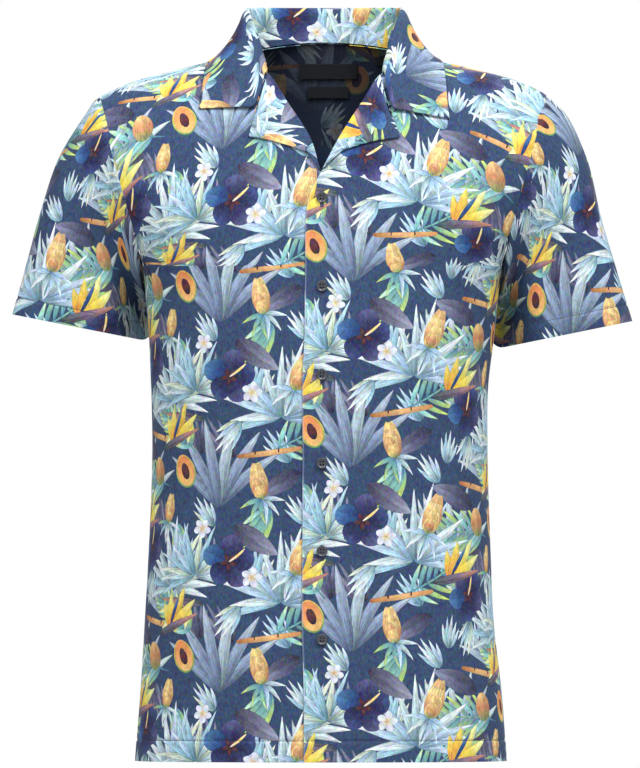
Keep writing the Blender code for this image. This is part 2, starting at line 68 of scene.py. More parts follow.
# Each dye runs from a blade's root over its middle to its tip; vein is how strongly it is streaked
Dye = namedtuple("Dye", "name vein root middle tip")
DYES = [
    Dye(name, vein, *shade.split())
    for name, vein, *shades in [
        ("heathered_navy", 0.0, "#1f3048 #1f3048 #1f3048"),
        ("agave", 1.0, "#415e68 #889ca2 #adb5b9", "#56737a #9aa8ac #b8bcc0", "#355866 #7292a0 #99aebb",
            "#61786d #94a194 #b1b7a8", "#4b6a80 #849aac #abb4be"),
        ("yucca", 1.0, "#344258 #627186 #8994a0", "#3f4f65 #728292 #9ba5ab", "#465a63 #778791 #9fabad"),
        ("palm", 0.8, "#356078 #5a8278 #96a548", "#3e6975 #74915c #a8b356", "#4a7d84 #709c96 #9fb385"),
        ("gold", 0.5, "#9e632b #ac993d #adae6d", "#975528 #a88633 #ada654", "#a2762d #ad9f3f #afb88c"),
        ("protea", 0.7, "#5c7548 #a07a4a #b4a472", "#66784c #a78959 #ad9964", "#516c46 #946646 #ab8f62"),
        ("indigo", 0.6, "#090d22 #161e3e #2a375e", "#0f112b #1f2445 #404264", "#0b183a #193660 #365a7d"),
        ("violet", 0.8, "#1f2337 #3d4056 #64687c", "#2a2b3c #4b4d60 #717586"),
        ("white", 0.25, "#a49059 #9a9faa #a7acb6"),
        ("teal", 1.0, "#274c69 #547c9a #91a3b5", "#30576c #6a8c9c #9eaab5"),
        ("cane", 0.3, "#7e4f29 #a58358 #92663e"),
        ("sheath", 0.8, "#2e3f41 #584c5d #9c6a54"),
        ("stamen", 0.2, "#b9aead #b49b57 #bfb587"),
        ("rind", 0.2, "#466a3e #848d47 #a37c44"),
        ("flesh", 0.2, "#a98b54 #a97846 #a26038"),
        ("dark", 0.1, "#0d111b #411f1e #2a1f29"),
    ]
    for shade in shades
]
GROUND = 0


def dyed(family):
    return [i for i, dye in enumerate(DYES) if dye.name == family]


AGAVE, YUCCA, PALM, GOLD, PROTEA = map(dyed, ("agave", "yucca", "palm", "gold", "protea"))
INDIGO, VIOLET, TEAL = map(dyed, ("indigo", "violet", "teal"))
WHITE, CANE, SHEATH, STAMEN, RIND, FLESH, DARK = (
    dyed(name)[0] for name in ("white", "cane", "sheath", "stamen", "rind", "flesh", "dark")
)


def linear(colour):
    """An sRGB hex colour as linear red, green and blue."""
    values = np.array([int(colour[i : i + 2], 16) / 255 for i in (1, 3, 5)])
    return np.where(values <= 0.04045, values / 12.92, ((values + 0.055) / 1.055) ** 2.4)


dice = random.Random(7)
blades = []


def blade(x, y, turn, long, wide, dye, bend=0.0, full=0.7, blunt=1.0):
    """One leaf or petal from its root at (x, y), turned in degrees, in millimetres."""
    blades.append(Blade(x, y, math.radians(turn), long, wide, bend, full, blunt, dye))


def ahead(x, y, turn, far):
    """The point a distance away from (x, y) in a direction in degrees."""
    return x + far * math.cos(math.radians(turn)), y + far * math.sin(math.radians(turn))


def fan(count):
    """Places from -0.5 to 0.5 across a fan of leaves, with the outer ones first, as they lie behind."""
    order = sorted(range(count), key=lambda i: -abs(i - (count - 1) / 2))
    return [i / (count - 1) - 0.5 for i in order]


def agave(x, y, turn, size):
    """A rosette of thirteen stiff pointed leaves."""
    for away in fan(13):
        long = size * (1 - 0.45 * abs(away)) * dice.uniform(0.82, 1.14)
        wide = size * 0.13 * dice.uniform(0.85, 1.15)
        angle = turn + 200 * away + dice.uniform(-5, 5)
        dye, bend = dice.choice(AGAVE), away * dice.uniform(0.1, 0.4)
        blade(x, y, angle, long, wide, dye, bend, full=0.62, blunt=0.8)


def yucca(x, y, turn, size):
    """Six long swords that arch away from each other."""
    for away in fan(6):
        long = size * (1 - 0.4 * abs(away)) * dice.uniform(0.88, 1.1)
        dye = dice.choice(YUCCA)
        blade(x, y, turn + 76 * away, long, size * 0.125, dye, away * 0.4, 0.8, 0.75)


def frond(x, y, turn, size):
    """A palm leaf: a thin bent stem with pairs of leaflets that shorten to the tip."""
    bend, pairs = 0.17, 8
    blade(x, y, turn, size, 2.2, PALM[0], bend, 1.0, 0.25)
    ax, ay = math.cos(math.radians(turn)), math.sin(math.radians(turn))
    for i in range(pairs):
        t = 0.16 + 0.8 * i / pairs
        px = x + size * (t * ax - bend * t * t * ay)
        py = y + size * (t * ay + bend * t * t * ax)
        lean_back = turn + math.degrees(2 * bend * t)
        for side in (1, -1):
            long = size * 0.42 * math.sin(math.pi * (0.25 + 0.6 * t)) * dice.uniform(0.9, 1.1)
            angle = lean_back + side * (58 - 22 * t)
            blade(px, py, angle, long, 5.4, dice.choice(PALM), bend=-side * 0.12, full=0.75, blunt=0.9)


def strelitzia(x, y, turn, size):
    """A bird-of-paradise flower: golden petals and a blue arrow that stand out of a long sheath."""
    hx, hy = ahead(x, y, turn, 0.3 * size)
    for away, long, wide in ((84, 0.50, 0.16), (62, 0.66, 0.18), (40, 0.84, 0.20), (18, 0.80, 0.18)):
        blade(hx, hy, turn + away, size * long, size * wide, dice.choice(GOLD), 0.08, 0.78, 0.75)
    blade(hx, hy, turn + 51, size * 0.66, size * 0.075, INDIGO[2], -0.05, 1.1, 0.8)
    blade(x, y, turn, size, size * 0.15, SHEATH, 0.05, 0.6, 0.7)


def hibiscus(x, y, turn, size):
    """Five broad overlapping petals, a dark eye and a long pale stamen."""
    for i in range(5):
        away = turn + 72 * i
        long, bend = size * dice.uniform(0.95, 1.1), dice.uniform(-0.08, 0.08)
        blade(x, y, away, long, size * 0.86, INDIGO[i % 3], bend, 1.45, 0.55)
    for i in range(5):
        blade(x, y, turn + 36 + 72 * i, size * 0.36, size * 0.16, DARK, 0, 0.9, 0.8)
    blade(x, y, turn + 20, size * 0.8, size * 0.10, STAMEN, 0.12, 1.0, 0.4)


def plumeria(x, y, turn, size):
    """A small white flower with a yellow heart."""
    for i in range(5):
        blade(x, y, turn + 72 * i, size, size * 0.74, WHITE, 0.1, 1.3, 0.6)


def protea(x, y, turn, size):
    """A flower head of stiff golden bracts in overlapping rows, over a collar of thin leaves."""
    for away in (-118, 118, -84, 84, -150, 150):
        dye = dice.choice(AGAVE + PALM[:1])
        blade(x, y, turn + away, size * 0.62, size * 0.14, dye, 0.004 * away, 0.8, 0.9)
    rows = [(0.0, 1.0, 34, 5), (0.0, 0.80, 46, 5), (0.02, 0.58, 52, 4), (0.03, 0.36, 50, 3)]
    for back, long, spread, count in rows:
        for away in fan(count):
            root, dye = ahead(x, y, turn, size * back), dice.choice(PROTEA)
            blade(*root, turn + spread * away, size * long, size * 0.27, dye, -0.45 * away, 1.05, 0.6)


def papaya(x, y, turn, size):
    """Half a fruit: green rind, orange flesh, and dark seeds in its hollow."""
    layers = ((0.0, 1.0, 0.72, RIND), (0.05, 0.9, 0.62, FLESH), (0.25, 0.5, 0.27, DARK))
    for start, long, wide, dye in layers:
        blade(*ahead(x, y, turn, size * start), turn, size * long, size * wide, dye, 0, 0.92, 0.5)


def mango(x, y, turn, size):
    """A whole fruit on a short stalk."""
    blade(x, y, turn, size, size * 0.74, dice.choice(PROTEA), 0.06, 0.92, 0.5)


def twig(x, y, turn, size):
    """A bare length of cane with its joints."""
    blade(x, y, turn, size, 5.8, CANE, 0.03, 1.0, 0.16)
    for t in (0.28, 0.64):
        blade(*ahead(x, y, turn, size * t), turn + 82, 4.4, 1.7, DARK, 0, 1, 0.3)


def sprig(x, y, turn, size, dyes=AGAVE):
    """A few slender leaves from one point."""
    for i, away in enumerate((-38, 34, -18, 15, 0)):
        long = size * (0.72 + 0.08 * i)
        blade(x, y, turn + away, long, size * 0.15, dice.choice(dyes), -0.006 * away, 0.7, 0.9)


def banana_leaf(x, y, turn, size):
    """One broad leaf."""
    blade(x, y, turn, size, size * 0.4, dice.choice(VIOLET), 0.1, 0.8, 0.7)


# The repeat, from what lies at the back to what lies on top
for row in range(3):
    for column in range(5):
        px = REPEAT_WIDE * (column + 0.5 * (row % 2) + dice.uniform(-0.2, 0.2)) / 5
        py = REPEAT_HIGH * (row + dice.uniform(-0.25, 0.25)) / 3
        turn, size = dice.choice((60, 80, 100, 125, 235, 280)), dice.uniform(34, 50)
        sprig(px, py, turn, size, dice.choice((AGAVE, TEAL, YUCCA, VIOLET, PALM)))
# Where each motif grows from, in mm, its turn in degrees and its size in mm
for motif, *places in [
    (yucca, (46, 6, 90, 104), (158, 90, 86, 92), (214, 176, 104, 70)),
    (frond, (96, 62, 20, 92), (218, 122, 168, 84), (20, 60, 128, 66)),
    (agave, (112, 100, 92, 76), (224, 20, 88, 66), (20, 126, 100, 56)),
    (sprig, (182, 36, 250, 38), (70, 94, 228, 40), (150, 8, 80, 34)),
    (banana_leaf, (184, 152, 150, 56), (64, 178, 320, 54), (132, 42, 205, 48)),
    (twig, (66, 58, 6, 68), (166, 178, -12, 62)),
    (hibiscus, (58, 140, 12, 27), (178, 62, 50, 25)),
    (papaya, (12, 26, 110, 35)),
    (mango, (196, 122, 96, 30)),
    (protea, (126, 126, 70, 42), (92, 14, 100, 38), (214, 84, 80, 30)),
    (strelitzia, (134, 76, 8, 62), (30, 96, 172, 56), (204, 160, 20, 56)),
    (plumeria, (82, 124, 0, 11), (28, 174, 50, 10)),
]:
    for place in places:
        motif(*place)


def add(tree, kind, inputs=None, **settings):
    """A node with its settings, and its inputs set, or linked to a socket or a node's first output."""
    made = tree.nodes.new(kind)
    for key, value in settings.items():
        setattr(made, key, value)
    for key, value in (inputs or {}).items():
        if isinstance(value, bpy.types.Node):
            value = value.outputs[0]
        if isinstance(value, bpy.types.NodeSocket):
            tree.links.new(value, made.inputs[key])
        else:
            made.inputs[key].default_value = value
    return made


MATH, VECTOR_MATH, MIX, RANGE, SPLIT, JOIN, NOISE = (
    "ShaderNode" + kind
    for kind in ("Math", "VectorMath", "Mix", "MapRange", "SeparateXYZ", "CombineXYZ", "TexNoise")
)
# The most blades that a face carries
SLOTS = 7


def make_blade_group():
    """Lays one blade over what is printed under it. A place is the share of the blade's length, and
    the distances in mm across it and to its edge."""
    tree = bpy.data.node_groups.new("print_blade", "ShaderNodeTree")
    sockets = [("Point", "Vector"), ("Root", "Vector"), ("Size", "Vector"), ("Form", "Vector")]
    for name, kind in [*sockets, ("Place", "Vector"), ("Dye", "Float")]:
        tree.interface.new_socket(name, in_out="INPUT", socket_type="NodeSocket" + kind)
    for name, kind in [("Place", "Vector"), ("Dye", "Float")]:
        tree.interface.new_socket(name, in_out="OUTPUT", socket_type="NodeSocket" + kind)
    given = add(tree, "NodeGroupInput").outputs
    root, size, form = (add(tree, SPLIT, {0: given[name]}).outputs for name in ("Root", "Size", "Form"))
    long, wide, bend = size
    full, blunt, dye = form
    away = add(tree, VECTOR_MATH, {0: given["Point"], 1: given["Root"]}, operation="SUBTRACT")
    back = add(tree, MATH, {0: root["Z"], 1: -1.0}, operation="MULTIPLY")
    own = add(tree, "ShaderNodeVectorRotate", {"Vector": away, "Angle": back}, rotation_type="Z_AXIS")
    own_x, own_y, _ = add(tree, SPLIT, {0: own}).outputs
    share = half = add(tree, MATH, {0: own_x, 1: long}, operation="DIVIDE", use_clamp=True)
    sag = add(tree, MATH, {0: share, 1: own_x}, operation="MULTIPLY")
    sag = add(tree, MATH, {0: sag, 1: bend}, operation="MULTIPLY")
    across = add(tree, MATH, {0: own_y, 1: sag}, operation="SUBTRACT")
    # Half its width there: half the width, times a power of the sine of pi times a power of the share
    steps = [("POWER", full), ("MULTIPLY", math.pi), ("SINE", 0.0), ("MAXIMUM", 0.0), ("POWER", blunt)]
    for step, amount in [*steps, ("MULTIPLY", wide), ("MULTIPLY", 0.5)]:
        half = add(tree, MATH, {0: half, 1: amount}, operation=step)
    off = add(tree, MATH, {0: across}, operation="ABSOLUTE")
    edge = add(tree, MATH, {0: half, 1: off}, operation="SUBTRACT")
    inside = add(tree, MATH, {0: edge, 1: 0.0}, operation="GREATER_THAN")
    place = add(tree, JOIN, {0: share, 1: across, 2: edge})
    over = add(tree, MIX, {0: inside, 4: given["Place"], 5: place}, data_type="VECTOR")
    dyed_over = add(tree, MIX, {0: inside, 2: given["Dye"], 3: dye}, data_type="FLOAT")
    add(tree, "NodeGroupOutput", {"Place": over.outputs[1], "Dye": dyed_over.outputs[0]})
    return tree


def new_finish(name, roughness, specular=0.5):
    """A material with its roughness and gloss set, the tree of its nodes and its shader's inputs."""
    made = bpy.data.materials.new(name)
    made.use_nodes = True
    inputs = made.node_tree.nodes["Principled BSDF"].inputs
    inputs["Roughness"].default_value = roughness
    inputs["Specular IOR Level"].default_value = specular
    return made, made.node_tree, inputs


def make_printed_jersey():
    """The dye is matt and slightly uneven, pools along the edges of the blades and is streaked along
    the leaves. The knit shows as a heathered speckle of bluer and redder fibres, drawn about four
    times as coarse as its half-millimetre stitches so that it shows. Along a pressed free edge a
    pale line is mixed in, partly cotton worn bare by rubbing and partly a painted highlight of the
    fold. On the wrong side the print is made dark and dull by mixing in near-black navy: painted
    shade for the dark inside of the shirt."""
    made, tree, surface = new_finish("printed_cotton_jersey", 0.88, 0.2)
    grain = add(tree, "ShaderNodeUVMap", uv_map="grain")
    spot = add(tree, VECTOR_MATH, {0: grain, "Scale": 1 / MM}, operation="SCALE")
    place = add(tree, JOIN, {0: 0.5, 1: 9.0, 2: 9.0})
    dye = add(tree, "ShaderNodeValue")
    dye.outputs[0].default_value = GROUND
    group = make_blade_group()
    for number in range(SLOTS):
        laid = add(tree, "ShaderNodeGroup", node_tree=group)
        under = {"Point": spot.outputs[0], "Place": place.outputs[0], "Dye": dye.outputs[-1]}
        for key, value in under.items():
            tree.links.new(value, laid.inputs[key])
        for part in ("Root", "Size", "Form"):
            held = add(tree, "ShaderNodeAttribute", attribute_name=f"blade_{number}_{part.lower()}")
            tree.links.new(held.outputs["Vector"], laid.inputs[part])
        place = dye = laid

    # Ramps with one even step for each dye give its colours and veins by its number
    one = 1 / len(DYES)
    at = add(tree, MATH, {0: dye.outputs["Dye"], 1: one, 2: one / 2}, operation="MULTIPLY_ADD")
    share, across, edge = add(tree, SPLIT, {0: place.outputs["Place"]}).outputs
    ramps = {}
    for part in ("root", "middle", "tip", "vein"):
        ramps[part] = add(tree, "ShaderNodeValToRGB", {"Fac": at})
        ramp = ramps[part].color_ramp
        ramp.interpolation = "CONSTANT"
        for i, shade in enumerate(getattr(dye, part) for dye in DYES):
            step = ramp.elements[i] if i < 2 else ramp.elements.new(i * one)
            step.position = i * one
            step.color = (shade, shade, shade, 1) if part == "vein" else (*linear(shade), 1)
    colour = ramps["root"]
    for part, start in (("middle", 0.0), ("tip", -1.0)):
        along = add(tree, MATH, {0: share, 1: 2.0, 2: start}, operation="MULTIPLY_ADD", use_clamp=True)
        colour = add(tree, MIX, {0: along, 6: colour, 7: ramps[part]}, data_type="RGBA").outputs[2]

    # The strength of the dye: streaks along a leaf, its shaded half and midrib, its edge, and pools
    streak_at = {0: place.outputs["Place"], 1: (2.2, 0.8, 0.0)}
    streak_at = add(tree, VECTOR_MATH, streak_at, operation="MULTIPLY")
    streak_at = add(tree, VECTOR_MATH, {0: streak_at, 1: at}, operation="ADD")
    streak = add(tree, NOISE, {"Vector": streak_at, "Scale": 1.6, "Detail": 2.0})
    pool = add(tree, NOISE, {"Vector": grain, "Scale": 130.0, "Detail": 3.0})
    ends = ("Value", "From Min", "From Max", "To Min", "To Max")
    streak, shaded, rim, pool = (
        add(tree, RANGE, dict(zip(ends, values)))
        for values in (
            (streak, 0.3, 0.7, -0.42, 0.36),
            (across, -0.6, 0.3, -0.30, 0.04),
            (edge, 0.1, 0.8, 0.66, 1.0),
            (pool, 0.3, 0.7, 0.84, 1.14),
        )
    )
    strength = add(tree, MATH, {0: streak, 1: shaded}, operation="ADD")
    strength = add(tree, MATH, {0: strength, 1: ramps["vein"], 2: 1.0}, operation="MULTIPLY_ADD")
    for part in (rim, pool):
        strength = add(tree, MATH, {0: strength, 1: part}, operation="MULTIPLY")
    heather_at = add(tree, VECTOR_MATH, {0: grain, 1: (1.0, 0.5, 1.0)}, operation="MULTIPLY")
    heather = add(tree, NOISE, {"Vector": heather_at, "Scale": 520.0, "Detail": 3.0}).outputs["Color"]
    faded, fibres = (
        add(tree, VECTOR_MATH, {0: heather, 1: most, 2: least}, operation="MULTIPLY_ADD")
        for most, least in (
            ((0.8, 0.7, 0.8), (0.58, 0.63, 0.58)),
            ((0.055, 0.05, 0.10), (-0.0265, -0.025, -0.048)),
        )
    )
    colour = add(tree, VECTOR_MATH, {0: colour, "Scale": strength}, operation="SCALE")
    for step, amount in (("MULTIPLY", faded), ("ADD", fibres), ("MAXIMUM", (0.003, 0.004, 0.008))):
        colour = add(tree, VECTOR_MATH, {0: colour, 1: amount}, operation=step)

    # The pale mix on the fronts' free edges is partly cotton worn by rubbing and partly a painted highlight
    # of the light the fold catches.
    worn_cotton_and_highlight, painted_shade_navy = "#7f8ca6", "#121927"
    # The wrong side is mixed towards near-black navy: painted shade standing for the dark inside of the
    # shirt.
    for where, much, shade in (("rub_and_highlight", 0.36, worn_cotton_and_highlight), ("wrong_side_shade", 0.78, painted_shade_navy)):
        held = add(tree, "ShaderNodeAttribute", attribute_name=where).outputs["Fac"]
        much = add(tree, MATH, {0: held, 1: much}, operation="MULTIPLY")
        mixed = {0: much, 6: colour, 7: (*linear(shade), 1)}
        colour = add(tree, MIX, mixed, data_type="RGBA").outputs[2]
    tree.links.new(colour, surface["Base Color"])
    knit = add(tree, NOISE, {"Vector": heather_at, "Scale": 1400.0, "Detail": 1.0})
    bump = add(tree, "ShaderNodeBump", {"Height": knit, "Strength": 0.12, "Distance": 0.0002})
    tree.links.new(bump.outputs[0], surface["Normal"])
    return made


printed_jersey = make_printed_jersey()

# How the print lies on a piece: where its repeat starts, in mm, and its turn
PrintPlace = namedtuple("PrintPlace", "x y turn")
# The fine chart's pitch in mm, the copies of the repeat that may reach into it, and its code for no blade
FINE = 0.8
SIDE_COPIES, HIGH_COPIES = (-1, 0, 1), (-2, -1, 0, 1, 2)
BARE = -1


def copy_start(across, up):
    """Where a copy of the repeat starts: each column of them is half a repeat higher than the last."""
    return np.stack([across * REPEAT_WIDE, (up + 0.5 * across) * REPEAT_HIGH], -1)


def top_blades():
    """A fine chart of one repeat: which blade is on top, and which copy of the repeat it grows from."""
    rows = np.arange(FINE / 2, REPEAT_WIDE, FINE)
    columns = np.arange(FINE / 2, REPEAT_HIGH, FINE)
    top = np.full((len(rows), len(columns)), BARE)
    for number, part in enumerate(blades):
        cos, sin = math.cos(part.turn), math.sin(part.turn)
        reach = part.long * (1 + abs(part.bend)) + part.wide
        for i, across in enumerate(SIDE_COPIES):
            for j, up in enumerate(HIGH_COPIES):
                x, y = copy_start(across, up) + (part.x, part.y)
                near_x = slice(*np.searchsorted(rows, (x - reach, x + reach)))
                near_y = slice(*np.searchsorted(columns, (y - reach, y + reach)))
                off_x, off_y = rows[near_x, None] - x, columns[None, near_y] - y
                share = np.clip((off_x * cos + off_y * sin) / part.long, 0, 1)
                away = off_y * cos - off_x * sin - part.bend * part.long * share**2
                half = part.wide / 2 * np.sin(np.pi * share**part.full).clip(0) ** part.blunt
                code = (number * len(SIDE_COPIES) + i) * len(HIGH_COPIES) + j
                top[near_x, near_y][np.abs(away) < half] = code
    return top


repeat_top = top_blades()
# The most copies of the repeat along a piece, and how many places along and across a face are looked at
MOST_COPIES, LOOKS = 64, 7


def blades_seen(place, corners):
    """For each face, given its corners on the flat cloth in mm, the blades seen on it from the lowest
    up: their roots, sizes and forms, as arrays of (face, slot, 3)."""
    turn = math.radians(place.turn)
    spin = np.array([[math.cos(turn), -math.sin(turn)], [math.sin(turn), math.cos(turn)]])
    steps = (np.arange(LOOKS) + 0.5) / LOOKS
    down, right = (grid.ravel()[None, :, None] for grid in np.meshgrid(steps, steps))
    one, two, three, four = (corners[:, None, k] for k in range(4))
    upper, lower = one * (1 - right) + two * right, four * (1 - right) + three * right
    spots = upper * (1 - down) + lower * down
    printed = spots @ spin.T + (place.x, place.y)
    across = np.floor(printed[..., 0] / REPEAT_WIDE).astype(int)
    up = np.floor(printed[..., 1] / REPEAT_HIGH - 0.5 * across).astype(int)
    local = ((printed - copy_start(across, up)) / FINE).astype(int)
    last = np.array(repeat_top.shape) - 1
    code = repeat_top[tuple(np.moveaxis(local.clip(0, last), -1, 0))]
    number, copy = np.divmod(code, len(SIDE_COPIES) * len(HIGH_COPIES))
    across = across + copy // len(HIGH_COPIES) + SIDE_COPIES[0] + MOST_COPIES // 2
    up = up + copy % len(HIGH_COPIES) + HIGH_COPIES[0] + MOST_COPIES // 2
    seen = np.where(code == BARE, BARE, (number * MOST_COPIES + across) * MOST_COPIES + up)

    chosen = np.full((len(corners), SLOTS), BARE)
    for face, codes in enumerate(seen):
        found, counts = np.unique(codes[codes != BARE], return_counts=True)
        most = np.sort(found[np.argsort(-counts, kind="stable")[:SLOTS]])
        chosen[face, : len(most)] = most
    used = chosen != BARE
    number = np.where(used, chosen // MOST_COPIES**2, 0)
    across = chosen // MOST_COPIES % MOST_COPIES - MOST_COPIES // 2
    up = chosen % MOST_COPIES - MOST_COPIES // 2
    part = Blade(*(np.array(column)[number] for column in zip(*blades)))
    start = (np.stack([part.x, part.y], -1) + copy_start(across, up) - (place.x, place.y)) @ spin
    roots = np.concatenate([start, (part.turn - turn)[..., None]], -1)
    sizes = np.stack([part.long, np.where(used, part.wide, 0), part.bend], -1)
    return roots, sizes, np.stack([part.full, part.blunt, part.dye], -1)


# ---- Back ---------------------------------------------------------------------------------------
# One piece of the jersey from side seam to side seam, with no yoke. It is sewn to both fronts at
# the shoulders and sides, to the collar at the neck, and its hem is turned up 22 mm.
CLOTH = 0.0012
HEM_CLOTH = 0.0020
BODY_HEM = 0.022
SIDE_GAP = 0.0011
TOP_GAP = 0.0016
LEFT, RIGHT = 1, -1
FRONT, BACK = -1, 1
# How far the body's oval is squared off at its corners
OVAL_SQUARE = 0.03
NECK_HALF = 0.076
NAPE_RISE = 0.009
NAPE_BACK = 0.058
NECK_LEAN = 0.004
UNDERARM_DROP = 0.222
ARMHOLE_FRONT = 0.070
ARMHOLE_BACK = 0.082
# How far round the oval the armhole cuts in at the shoulder, and how full its curve is
ARMHOLE_CUT, ARMHOLE_POWER = np.radians(50), 2.64
# How far out from the neck the shoulder begins to round over
ROUND_FROM = 0.100
# The body's ease at the underarm: how far above and below it reaches, how much there is, and the
# angle over which it fades out at the armhole and the side seam
UNDERARM_EASE, UNDERARM_FLARE, UNDERARM_SIDE = 0.032, 0.85, np.radians(26)
# "Level" runs down a panel: 0 at the top seam, 1 at the underarm, 2 at the hem. "Reach" runs
# across it: 0 at the centre line, 1 at the side seam or armhole.
Ring = namedtuple("Ring", "drop half_width lean front back")
TORSO = [
    Ring(0.222, 0.1845, 0.0015, 0.118, 0.122),
    Ring(0.238, 0.1832, 0.0013, 0.1182, 0.1218),
    Ring(0.290, 0.1783, 0.0008, 0.121, 0.116),
    Ring(0.345, 0.1738, -0.0014, 0.120, 0.108),
    Ring(0.400, 0.1727, -0.0011, 0.117, 0.101),
    Ring(0.455, 0.1738, -0.0011, 0.114, 0.097),
    Ring(0.515, 0.1762, -0.0014, 0.113, 0.099),
    Ring(0.590, 0.1800, -0.0018, 0.114, 0.107),
    Ring(0.660, 0.1862, 0.0000, 0.116, 0.116),
    Ring(0.731, 0.1915, 0.0000, 0.118, 0.123),
]
HEM_DROP = TORSO[-1].drop
Shoulder = namedtuple("Shoulder", "slope rounding tip_out")
SHOULDERS = {RIGHT: Shoulder(0.250, 2.6, 0.2355), LEFT: Shoulder(0.240, 3.0, 0.2290)}
UPPER_ROWS, LOWER_ROWS, HALF_COLUMNS = 46, 88, 40
NEARING_STEPS = 12


def through(rows, at):
    """A table's columns at the places `at` in its first column, on smooth curves through its rows."""
    rows = np.array(rows, float)
    key, values = rows[:, 0], rows[:, 1:]
    slope = np.gradient(values, key, axis=0)
    at = np.clip(np.asarray(at, float), key[0], key[-1])
    i = np.clip(np.searchsorted(key, at) - 1, 0, len(key) - 2)
    step = (key[i + 1] - key[i])[..., None]
    t = (at - key[i])[..., None] / step
    start = (1 + 2 * t) * (1 - t) ** 2 * values[i] + t * (1 - t) ** 2 * step * slope[i]
    end = t * t * (3 - 2 * t) * values[i + 1] - t * t * (1 - t) * step * slope[i + 1]
    return np.moveaxis(start + end, -1, 0)


def smooth_step(t):
    t = np.clip(t, 0, 1)
    return t * t * (3 - 2 * t)


def oval_out(angle):
    return (1 + OVAL_SQUARE) * np.sin(angle) + OVAL_SQUARE * np.sin(3 * angle)


def oval_deep(angle):
    return (1 + OVAL_SQUARE) * np.cos(angle) - OVAL_SQUARE * np.cos(3 * angle)


def top_height(side, out):
    """The height of the neck and shoulder seam at a distance out."""
    shoulder = SHOULDERS[side]
    past = out - NECK_HALF
    slope = -shoulder.slope * past - shoulder.rounding * np.clip(past - ROUND_FROM, 0, None) ** 2
    return np.where(past > 0, slope, NAPE_RISE * (1 - (out / NECK_HALF) ** 2))


def top_back(face, out):
    """How far back the neck seam lies: behind the neck it bows round the nape."""
    bow = NAPE_BACK * (1 - np.clip(np.abs(out) / NECK_HALF, 0, 1) ** 3)
    return bow if face == BACK else 0 * bow


def turned(level):
    """The cosine and sine of the turn from the seam on top (0) to the underarm (1)."""
    cosine = np.cos(np.pi * np.clip(level, 0, 1) / 2) ** 2
    return cosine, np.sqrt(1 - cosine**2)


def armhole_angle(level):
    """The angle round the oval at which the armhole cuts it."""
    cosine, _ = turned(level)
    turn = np.arccos(cosine) / (np.pi / 2)
    return np.pi / 2 - ARMHOLE_CUT * np.sqrt(np.clip(1 - turn**ARMHOLE_POWER, 0, 1))


def armhole(side, face, level):
    """The armhole's out, y and z from the shoulder tip (0) to the underarm (1)."""
    cosine, _ = turned(level)
    psi = np.pi * np.clip(level, 0, 1)
    tip = SHOULDERS[side].tip_out
    out = TORSO[0].half_width + (tip - TORSO[0].half_width) * cosine
    height = -UNDERARM_DROP + (top_height(side, tip) + UNDERARM_DROP) * cosine
    return out, face * (ARMHOLE_FRONT if face == FRONT else ARMHOLE_BACK) * oval_out(psi), height


def drop_of(level):
    return UNDERARM_DROP + (np.clip(level, 1, 2) - 1) * (HEM_DROP - UNDERARM_DROP)


def lean(level):
    """How far the centre line stands to one side."""
    cosine, _ = turned(level)
    upper = TORSO[0].lean + (NECK_LEAN - TORSO[0].lean) * cosine
    return np.where(level < 1, upper, through(TORSO, drop_of(level))[1])


def body(side, face, reach, level):
    """Points on the outside of the body at a reach and level, as an array (..., 3)."""
    reach, level = np.broadcast_arrays(np.asarray(reach, float), np.asarray(level, float))
    cosine, sine = turned(level)
    cut = armhole_angle(level)
    arm_out, arm_y, arm_z = armhole(side, face, level)
    deep = TORSO[0].front if face == FRONT else TORSO[0].back

    def upper(share):
        out = arm_out * oval_out(share * cut) / oval_out(cut)
        y = face * deep * oval_deep(share * cut) * sine + top_back(face, out) * (1 - sine) ** 2
        z = -UNDERARM_DROP + (top_height(side, np.abs(out)) + UNDERARM_DROP) * cosine
        return out, y, z

    out, y, z = upper(reach)
    _, end_y, end_z = upper(np.ones_like(reach))
    pull = np.clip(np.abs(reach), 0, 1.2) ** 4
    upper_points = (out, y + pull * (arm_y - end_y), z + pull * (arm_z - end_z))
    half, _, front, back = through(TORSO, drop_of(level))
    angle = reach * np.pi / 2
    lower_deep = face * (front if face == FRONT else back) * oval_deep(angle)
    lower_points = (half * oval_out(angle), lower_deep, -drop_of(level))
    out, y, z = (np.where(level < 1, high, low) for high, low in zip(upper_points, lower_points))
    near = np.clip(1 - np.abs(z + UNDERARM_DROP) / UNDERARM_EASE, 0, 1)
    turn = np.clip(reach, -1, 1) * np.where(level < 1, cut, np.pi / 2)
    clear = smooth_step((np.where(level < 1, cut, np.pi / 2) - np.abs(turn)) / UNDERARM_SIDE)
    out = out + UNDERARM_FLARE * UNDERARM_EASE / 4 * near**2 * np.sin(turn) * clear
    return np.stack([side * out + lean(level), y, z], -1)


def reach_at(side, level, out):
    """The reach at which the body has gone a given distance out."""
    level, out = np.broadcast_arrays(np.asarray(level, float), np.asarray(out, float))
    cut = np.where(level < 1, armhole_angle(level), np.pi / 2)
    arm_out, _, _ = armhole(side, FRONT, level)
    whole = np.where(level < 1, arm_out / oval_out(cut), through(TORSO, drop_of(level))[0])
    wanted = out / whole
    sine = wanted / (1 + 4 * OVAL_SQUARE)
    for _ in range(NEARING_STEPS):
        error = (1 + 4 * OVAL_SQUARE) * sine - 4 * OVAL_SQUARE * sine**3 - wanted
        sine = sine - error / (1 + 4 * OVAL_SQUARE - 12 * OVAL_SQUARE * sine**2)
    return np.arcsin(np.clip(sine, -1, 1)) / cut


